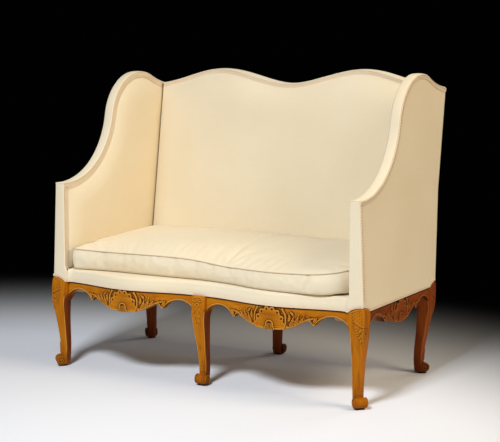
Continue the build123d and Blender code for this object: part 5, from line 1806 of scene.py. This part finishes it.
# %% Braid paths
BRAID_LIFT = 0.8  # middle of the ground above the cloth
POST_STEPS = 60


def with_x(x, yz):
    """Points at one width."""
    return np.concatenate([np.full((len(yz), 1), x), yz], axis=1)


def crest_paths():
    x = np.linspace(-BACK_HALF, BACK_HALF, 190)
    z = crest(x) - CLOTH - BRAID_WIDTH / 2
    forward = np.array([0.0, -math.cos(LEAN), -math.sin(LEAN)])
    front = np.stack([x, back_y(z, BACK_FACE_N + BRAID_LIFT), z], axis=1)
    rear = np.stack([x, back_y(z, -CLOTH - BRAID_LIFT), z], axis=1)
    return [(front, forward), (rear, -forward)]


def knee_run(corner_gap):
    """Heights of the base braid by the distance from a corner: level, rising over a knee."""
    return np.maximum(APRON_TOP, knee_arch(corner_gap * HALF_ROOT)) + BASE_BRAID_WIDTH / 2


def edge_path(width, x, low, plane):
    """Path up an arm front and along a wing's edge, for a braid of a width that lies against the border."""
    middle = CLOTH + width / 2
    edge = wing_line(middle, start=middle, plane=plane)
    up = np.linspace(low, ARM_TOP - middle - 8.0, POST_STEPS)
    post = np.stack([np.full(POST_STEPS, middle), up], axis=1)
    return np.concatenate([with_x(x, post), with_x(x, edge)])


def side_paths(side):
    """Paths on the outside of a wing, on its inside and along its base."""
    outer = edge_path(BRAID_WIDTH, 0.0, APRON_TOP + 32.0, -CLOTH)
    outer[:, 0] = flare(outer[:, 2]) + CLOTH + BRAID_LIFT
    inner = edge_path(WING_BRAID_WIDTH, FLANGE_X - BRAID_LIFT, DECK_TOP + 1.0, BACK_FACE_N)
    y = np.linspace(CLOTH + BRAID_WIDTH / 2, SEAT_DEPTH - 4.0, 130)
    z = knee_run(np.minimum(np.abs(y), np.abs(SEAT_DEPTH - y)))
    base = np.stack([flare(z) + CLOTH + BRAID_LIFT, y, z], axis=1)
    paths = []
    for line, out in ((outer, (1, 0, 0)), (inner, (-1, 0, 0)), (base, (1, 0, 0))):
        paths.append((mirror_side(line, side), np.array(out, float) * np.array([side, 1, 1])))
    return paths


def seat_base_path():
    x = np.linspace(-HALF_WIDTH - 1.0, HALF_WIDTH + 1.0, 300)
    z = knee_run(HALF_WIDTH - np.abs(x))
    y = np.where(np.abs(x) < LIP_HALF, lip_front(x) - BRAID_LIFT, -CLOTH - 2.0)
    return [(np.stack([x, y, z], axis=1), (0, -1, 0))]


lay_braid("crest_braid_laid", crest_paths(), BRAID_WIDTH, ["crest_braid"])
for side, hand in HANDS:
    outer_path, inner_path, base_path = side_paths(side)
    lay_braid(hand + "_wing_braid_outside", [outer_path], BRAID_WIDTH, [hand + "_side_braid"])
    lay_braid(hand + "_wing_braid_inside", [inner_path], WING_BRAID_WIDTH)
    lay_braid(hand + "_base_braid", [base_path], BASE_BRAID_WIDTH)
lay_braid("seat_base_braid_laid", seat_base_path(), BASE_BRAID_WIDTH, ["seat_base_braid"])
print("braid laid")

# %% [markdown]
# ## Stitches
# Short dark stitches hold the outside braid to the border; their dark colour also stands for painted shadow
# along the braid's edge.
# A dashed texture would lie flat. The plan of a cord draws any thread along its path, so a stitch is a path
# of three points with its middle raised.

# %% Stitches along the outside braid
STITCH_LENGTH = 4.0
STITCH_PITCH = 9.0
STITCH_START = 6.0
STITCH_INSET = 4.0
STITCH_LIFT = 1.9
STITCH_ARCH = 0.4
STITCH_RADIUS = 0.7
STITCH_SHADOW_THREAD = woven(
    "stitch_thread", pale=(0.22, 0.15, 0.09), deep=(0.16, 0.10, 0.06),
    thread=0.0012, relief=0.1, rough=0.9, fuzz=0.05)


def stitch_paths(side):
    """Short stitches at the front edge of the outside braid, where it is sewn to the border."""
    line = edge_path(STITCH_INSET, 0.0, APRON_TOP + 36.0, -CLOTH)
    line[:, 0] = flare(line[:, 2]) + CLOTH + STITCH_LIFT
    along = np.concatenate([[0], np.cumsum(np.linalg.norm(np.diff(line, axis=0), axis=1))])
    paths = []
    for start in np.arange(STITCH_START, along[-1] - STITCH_PITCH, STITCH_PITCH):
        at = start + STITCH_LENGTH * np.array([0, 0.5, 1])
        stitch = np.stack([np.interp(at, along, line[:, i]) for i in range(3)], axis=1)
        stitch[1, 0] += STITCH_ARCH
        paths.append((mirror_side(stitch, side), (side, 0, 0)))
    return paths


for side, hand in HANDS:
    stitches = stitch_paths(side)
    path = path_mesh(hand + "_stitch_path", stitches)
    values = {"Radius": STITCH_RADIUS * MM, "Yarn": STITCH_SHADOW_THREAD}
    planned_piece(hand + "_wing_stitches", path, CORD_PLAN, values)
    print("stitches on the", hand, "wing:", len(stitches))

# %% [markdown]
# ## Beads on the legs
# The fillet along the aprons runs on down both edges of every leg as a thin bead, rubbed pale and painted
# lighter as a highlight.
# Its line is found with rays that meet the leg at its arris. A bevel would have to pick that edge out of
# many; a cord along the line comes from a plan that is there already.

# %% Arris beads
# Bead tones are rubbed pale and painted lighter as a highlight along the arrises; the rear ones are also
# darker red, painted shade.
BEAD_HONEY_HIGHLIGHT = ((0.62, 0.31, 0.06), (0.62, 0.31, 0.06), (0.55, 0.24, 0.04), (0.40, 0.14, 0.01))
BEAD_RUSSET_SHADE_HIGHLIGHT = ((0.40, 0.15, 0.03), (0.40, 0.15, 0.03), (0.32, 0.11, 0.02), (0.20, 0.05, 0.01))
BEAD_ROUGH = 0.55
BEAD_WOODS = {
    "front": wood("honey_bead", BEAD_HONEY_HIGHLIGHT, UPRIGHT_GRAIN, BEAD_ROUGH),
    "rear": wood("russet_bead", BEAD_RUSSET_SHADE_HIGHLIGHT, UPRIGHT_GRAIN, BEAD_ROUGH)}
BEAD_LEVELS = np.linspace(50.0, 263.0, 60)
BEAD_RADIUS = 1.7
BEAD_SUNK = 0.7


def arris_beads(end, node, axis, out, sway, ways):
    """Beads along arrises of a leg. ways point from the leg's middle to its arrises."""
    tree = solid_tree(node)
    paths = []
    for way in ways:
        way = level_way(way)
        line = []
        for z, push in zip(BEAD_LEVELS, np.interp(BEAD_LEVELS, LEG_LEVELS, sway)):
            middle = np.array([axis[0] + push * out[0], axis[1] + push * out[1], z])
            line.append(ray_hit(tree, middle + RAY_START * way, tuple(-way)) - BEAD_SUNK * way)
        paths.append((np.array(line), (0, 0, 1)))
    values = {"Radius": BEAD_RADIUS * MM, "Yarn": BEAD_WOODS[end]}
    planned_piece(node + "_beads", path_mesh(node + "_arrises", paths), CORD_PLAN, values)


for end, y, ahead in LEG_ROWS:
    for side, hand in HANDS:
        node = end + "_" + hand + "_leg"
        axis = (side * (HALF_WIDTH - LEG_AXIS), y)
        out = (side * HALF_ROOT, ahead * HALF_ROOT)
        arris_beads(end, node, axis, out, SWAYS[end], [(side, -ahead), (-side, ahead)])
    arris_beads(end, end + "_middle_leg", (0.0, y), (0, ahead), MIDDLE_SWAY, [(1, ahead), (-1, ahead)])
print("beads laid")

# %% [markdown]
# ## Loose cushion
# One long cushion fills the seat: a top and a bottom panel, a boxing strip between them and piping in both
# seams. It is filled soft, and people have sat on it: the right half has slid forward and sits lower. A cloth
# run from a plain box would not find the way it was left, so the start shape is drawn with its seams. A short
# run with air pressure, pinned at the seams, then gives the cover its slack and puckers.

# %% Cushion outline
CUSHION_HALF = 546.0
CUSHION_REAR = 514.6
CUSHION_LOW = 360.5
LOW_SEAM = 364.0
CROWN = 27.0
CORNER = 26.0
COLS, ROWS, BOX_ROWS = 131, 63, 12
# Lines across the cushion, each as (width, value): depths and heights of its seams and of the roll behind
FRONT_LINE = [
    (-546, 12), (-457, 28), (-182, 38), (40, 38), (130, 20),
    (207, -4), (364, -20), (496, 2), (546, 30)]
FRONT_SEAM = [
    (-546, 434), (-457, 430), (-51, 428), (74, 418),
    (207, 420), (344, 423), (488, 431), (546, 439)]
REAR_LINE = [(-546, 508), (0, 500), (546, 492)]
REAR_SEAM = [(-546, 450), (-260, 462), (0, 464), (546, 463)]
REAR_TOP = [(-546, 453), (-488, 459), (-260, 470), (0, 473), (546, 473)]


def through(line, at):
    """Smooth curve through drawn points."""
    known = np.array(line, float)
    slopes = np.gradient(known[:, 1], known[:, 0])
    i = np.clip(np.searchsorted(known[:, 0], at) - 1, 0, len(known) - 2)
    width = known[i + 1, 0] - known[i, 0]
    t = (at - known[i, 0]) / width
    start = known[i, 1] * (1 + 2 * t) * (1 - t) ** 2 + slopes[i] * width * t * (1 - t) ** 2
    return start + known[i + 1, 1] * t * t * (3 - 2 * t) - slopes[i + 1] * width * t * t * (1 - t)


def cushion_plan(rear_line):
    """(x, y) of a panel's grid between the front line and a rear line, with rounded corners."""
    u = np.linspace(-1, 1, COLS)[None, :]
    v = np.linspace(0, 1, ROWS)[:, None]
    x = CUSHION_HALF * u + 0 * v
    front = through(FRONT_LINE, x)
    rear = through(rear_line, x)
    y = front + (rear - front) * v
    a = np.clip((np.abs(x) - CUSHION_HALF + CORNER) / CORNER, 0, 1)
    for edge_gap, way in ((y - front, 1), (rear - y, -1)):
        b = np.clip((CORNER - edge_gap) / CORNER, 0, 1)
        x = x - np.sign(x) * a * (1 - np.sqrt(1 - b * b / 2)) * CORNER
        y = y + way * b * (1 - np.sqrt(1 - a * a / 2)) * CORNER
    return x, y


print("cushion", 2 * CUSHION_HALF, "mm wide, panels of", COLS, "by", ROWS, "points")

# %% Cushion panels
TOP_SEED = 4
TOP_RUN = 170.0
SEATS = ((7.0, 270.0, 190.0, 210.0), (5.0, -270.0, 200.0, 240.0))  # depth, x, half width and y of each
SEAT_REACH = 150.0
BEND = (85.0, 30.0)
FOLD_HEIGHT = 3.5
FOLD_COUNT = 9
CURL = 9.0


def puckers(at, seed):
    """Uneven gathers along a seam."""
    mixed = np.random.default_rng(seed)
    total = np.zeros(np.shape(at))
    for i in range(9):
        total += mixed.uniform(0.3, 1.0) * np.sin(at / mixed.uniform(7.0, 24.0) + mixed.uniform(0, 6.3))
    return total / 3.0


def creases(x, y):
    """Soft folds that run out from where the cushion bends in the middle of its front."""
    r = np.hypot(x - BEND[0], y - BEND[1])
    turn = np.arctan2(y - BEND[1], x - BEND[0])
    return FOLD_HEIGHT * np.cos(FOLD_COUNT * turn + 0.7) * np.clip(r / 40.0, 0, 1) * np.exp(-r / 120.0)


def top_panel():
    """Grid of the top panel, swelling from its seams, a little sat in on both sides."""
    x, y = cushion_plan(REAR_LINE)
    v = np.linspace(0, 1, ROWS)[:, None]
    seam = through(FRONT_SEAM, x) * (1 - v) + through(REAR_SEAM, x) * v
    edge_gap = np.minimum(y - through(FRONT_LINE, x), through(REAR_LINE, x) - y)
    edge_gap = np.clip(np.minimum(edge_gap, CUSHION_HALF - np.abs(x)), 0, None)
    swell = rise(edge_gap, TOP_RUN)
    sat_on = np.zeros(x.shape)
    for depth, spot, half, back in SEATS:
        sat_on += depth * np.exp(-((x - spot) / half) ** 2 - ((y - back) / SEAT_REACH) ** 2)
    gathers = 1.2 * puckers(x + 0.7 * y, TOP_SEED) * np.exp(-edge_gap / 24.0) * np.clip(edge_gap / 6.0, 0, 1)
    folds = creases(x, y) * np.clip(edge_gap / 20.0, 0, 1)
    return np.stack([x, y, seam + (CROWN - sat_on) * swell + gathers + folds], axis=2)


def bottom_panel():
    """Flat grid of the bottom panel, its right front corner curled up off the deck."""
    x, y = cushion_plan([(-CUSHION_HALF, CUSHION_REAR), (0, CUSHION_REAR), (CUSHION_HALF, CUSHION_REAR)])
    edge_gap = np.minimum(np.minimum(y - through(FRONT_LINE, x), CUSHION_REAR - y), CUSHION_HALF - np.abs(x))
    edge_gap = np.clip(edge_gap, 0, None)
    curl = CURL * np.exp(-((CUSHION_HALF - x) / 40.0) ** 2 - ((y - 20.0) / 60.0) ** 2)
    return np.stack([x, y, CUSHION_LOW + curl + (LOW_SEAM - CUSHION_LOW) * np.exp(-edge_gap / 6.0)], axis=2)


print("top panel up to", round(float(top_panel()[..., 2].max())), "mm high")

# %% Boxing and start shape
BOX_SEED = 7
BELLY = 5.0
REAR_BELLY = 9.0
BOX_FOLD = 7.0
REAR_START = 440.0
REAR_FADE = 60.0


def loop_outward(loop):
    """Level directions out of a closed loop."""
    way = np.roll(loop, -1, axis=0) - np.roll(loop, 1, axis=0)
    out = np.stack([way[:, 1], -way[:, 0]], axis=1)
    return out / np.linalg.norm(out, axis=1)[:, None]


def boxing_ring(low_loop, top_loop, share):
    """One line round the boxing: full and gathered in front, rolled up behind against the back."""
    x = low_loop[:, 0]
    belly = math.sin(math.pi * share)
    behind = np.clip((low_loop[:, 1] - REAR_START) / REAR_FADE, 0, 1)
    behind = behind * np.clip((CUSHION_HALF - np.abs(x)) / REAR_FADE, 0, 1)
    around = np.concatenate([[0], np.cumsum(np.linalg.norm(np.diff(top_loop, axis=0), axis=1))])
    wavy = (1.2 + 3.0 * np.exp(-((x + 60.0) / 90.0) ** 2)) * puckers(around, BOX_SEED) * (1 - behind)
    fold = BOX_FOLD * np.exp(-((x - 420.0 - 8.0 * share) / 8.0) ** 2) * (1 - behind)
    ring = low_loop + (top_loop - low_loop) * share
    ring[:, :2] += loop_outward(top_loop) * ((BELLY + REAR_BELLY * behind + wavy - fold) * belly)[:, None]
    lift = 1.75 * (through(REAR_TOP, x) - through(REAR_SEAM, x)) + 14.0
    ring[:, 2] += behind * lift * math.sin(math.pi * share ** 1.6)
    return ring


def cushion_start():
    """Points of both panels and the boxing, with their faces and the loops from the low to the top seam."""
    panel = ROWS * COLS
    rim = np.array(rim_loop(ROWS, COLS))
    points = [bottom_panel().reshape(-1, 3), top_panel().reshape(-1, 3)]
    faces = [face[::-1] for face in grid_faces(ROWS, COLS)] + grid_faces(ROWS, COLS, panel)
    low_loop, top_loop = points[0][rim], points[1][rim]
    loops = [rim]
    for i in range(1, BOX_ROWS):
        loops.append(np.arange(len(rim)) + 2 * panel + (i - 1) * len(rim))
        points.append(boxing_ring(low_loop, top_loop, i / BOX_ROWS))
    loops.append(rim + panel)
    count = len(rim)
    for lower, upper in zip(loops, loops[1:]):
        for i in range(count):
            j = (i + 1) % count
            faces.append((lower[i], lower[j], upper[j], upper[i]))
    return np.concatenate(points), [tuple(int(i) for i in face) for face in faces], loops


cushion_points, cushion_faces, cushion_loops = cushion_start()
print("cushion start:", len(cushion_points), "points")

# %% Blow the cushion up
AIR = 3.0
SLACK = -0.012
LAST_FRAME = 18


def blown(points, faces, loops):
    """The cover after a short cloth run with air inside, pinned at the seams and under the cushion."""
    mesh = bpy.data.meshes.new("cushion_run")
    mesh.from_pydata(place(points).tolist(), [], faces)
    shape = bmesh.new()
    shape.from_mesh(mesh)
    bmesh.ops.recalc_face_normals(shape, faces=shape.faces)
    shape.to_mesh(mesh)
    shape.free()
    rough = bpy.data.objects.new("cushion_run", mesh)
    scene.collection.objects.link(rough)
    pins = rough.vertex_groups.new(name="pins")
    pins.add(list(range(ROWS * COLS)), 1.0, "REPLACE")
    pins.add([int(i) for i in loops[-1]], 1.0, "REPLACE")
    cloth = rough.modifiers.new("cloth", "CLOTH")
    settings = cloth.settings
    settings.quality = 6
    settings.mass = 0.25
    settings.tension_stiffness = 18.0
    settings.compression_stiffness = 8.0
    settings.shear_stiffness = 6.0
    settings.bending_stiffness = 0.6
    settings.use_pressure = True
    settings.uniform_pressure_force = AIR
    settings.vertex_group_mass = "pins"
    settings.shrink_min = SLACK
    settings.shrink_max = SLACK
    settings.effector_weights.gravity = 0.0
    settings.effector_weights.all = 0.0
    cloth.collision_settings.use_collision = False
    cloth.point_cache.frame_start = 1
    cloth.point_cache.frame_end = LAST_FRAME
    for number in range(1, LAST_FRAME + 1):
        scene.frame_set(number)
    depsgraph = bpy.context.evaluated_depsgraph_get()
    after = rough.evaluated_get(depsgraph).to_mesh()
    moved = np.empty(len(points) * 3)
    after.vertices.foreach_get("co", moved)
    bpy.data.objects.remove(rough)
    scene.frame_set(1)
    moved = moved.reshape(-1, 3)
    moved[:, 1] -= FRONT
    return moved / MM


print("cloth run of", LAST_FRAME, "frames")

# %% Run the cloth and hold it in its place
MOST_MOVE = 16.0
CUSHION_REACH = 550.0
BACK_CLEAR = 3.0


def eased(points, start):
    """Keeps the run's result near its start and clear of the deck, the wings and the back."""
    step = points - start
    far = np.linalg.norm(step, axis=1)
    share = np.where(far > 1e-6, MOST_MOVE * np.tanh(far / MOST_MOVE) / np.maximum(far, 1e-6), 1.0)
    kept = start + step * share[:, None]
    kept[:, 0] = np.clip(kept[:, 0], -CUSHION_REACH, CUSHION_REACH)
    kept[:, 1] = np.minimum(kept[:, 1], back_y(kept[:, 2], BACK_CROWN_N + BACK_CLEAR))
    kept[:, 2] = np.maximum(kept[:, 2], CUSHION_LOW)
    return kept


run = blown(cushion_points, cushion_faces, cushion_loops)
moved = np.linalg.norm(run - cushion_points, axis=1)
mean, most = round(float(moved.mean()), 1), round(float(moved.max()), 1)
print("cloth run moved", mean, "mm on average, at most", most)
cushion_points = eased(run, cushion_points)

# %% Cushion cover and piping
COVER_NODES = ["cushion_top_panel", "cushion_boxing", "cushion_bottom_panel", "cushion_filling"]
PIPING_RADIUS = 1.8
PIPING_OUT = 1.0
LOW_PIPING_LIFT = 0.2
TOP_PIPING_LIFT = 0.6
cover = make_piece(
    "cushion_cover_filled", cushion_points, cushion_faces, CREAM, "cream_cloth", COVER_NODES, body="cushion")


def seam_path(loop, lift):
    """Path of the piping along a seam."""
    line = cushion_points[loop].copy()
    line[:, :2] += PIPING_OUT * loop_outward(line)
    line[:, 2] += lift
    return line, (0, 0, 1)


piping_paths = [
    seam_path(cushion_loops[0], LOW_PIPING_LIFT), seam_path(cushion_loops[-1], TOP_PIPING_LIFT)]
planned_piece(
    "cushion_piping_cord", path_mesh("seam_paths", piping_paths, closed=True), CORD_PLAN,
    {"Radius": PIPING_RADIUS * MM, "Yarn": SEAM_SHADOW_CREAM}, ["cushion_piping"], body="cushion")
print("cushion cover of", len(cover.data.polygons), "faces, with piping")
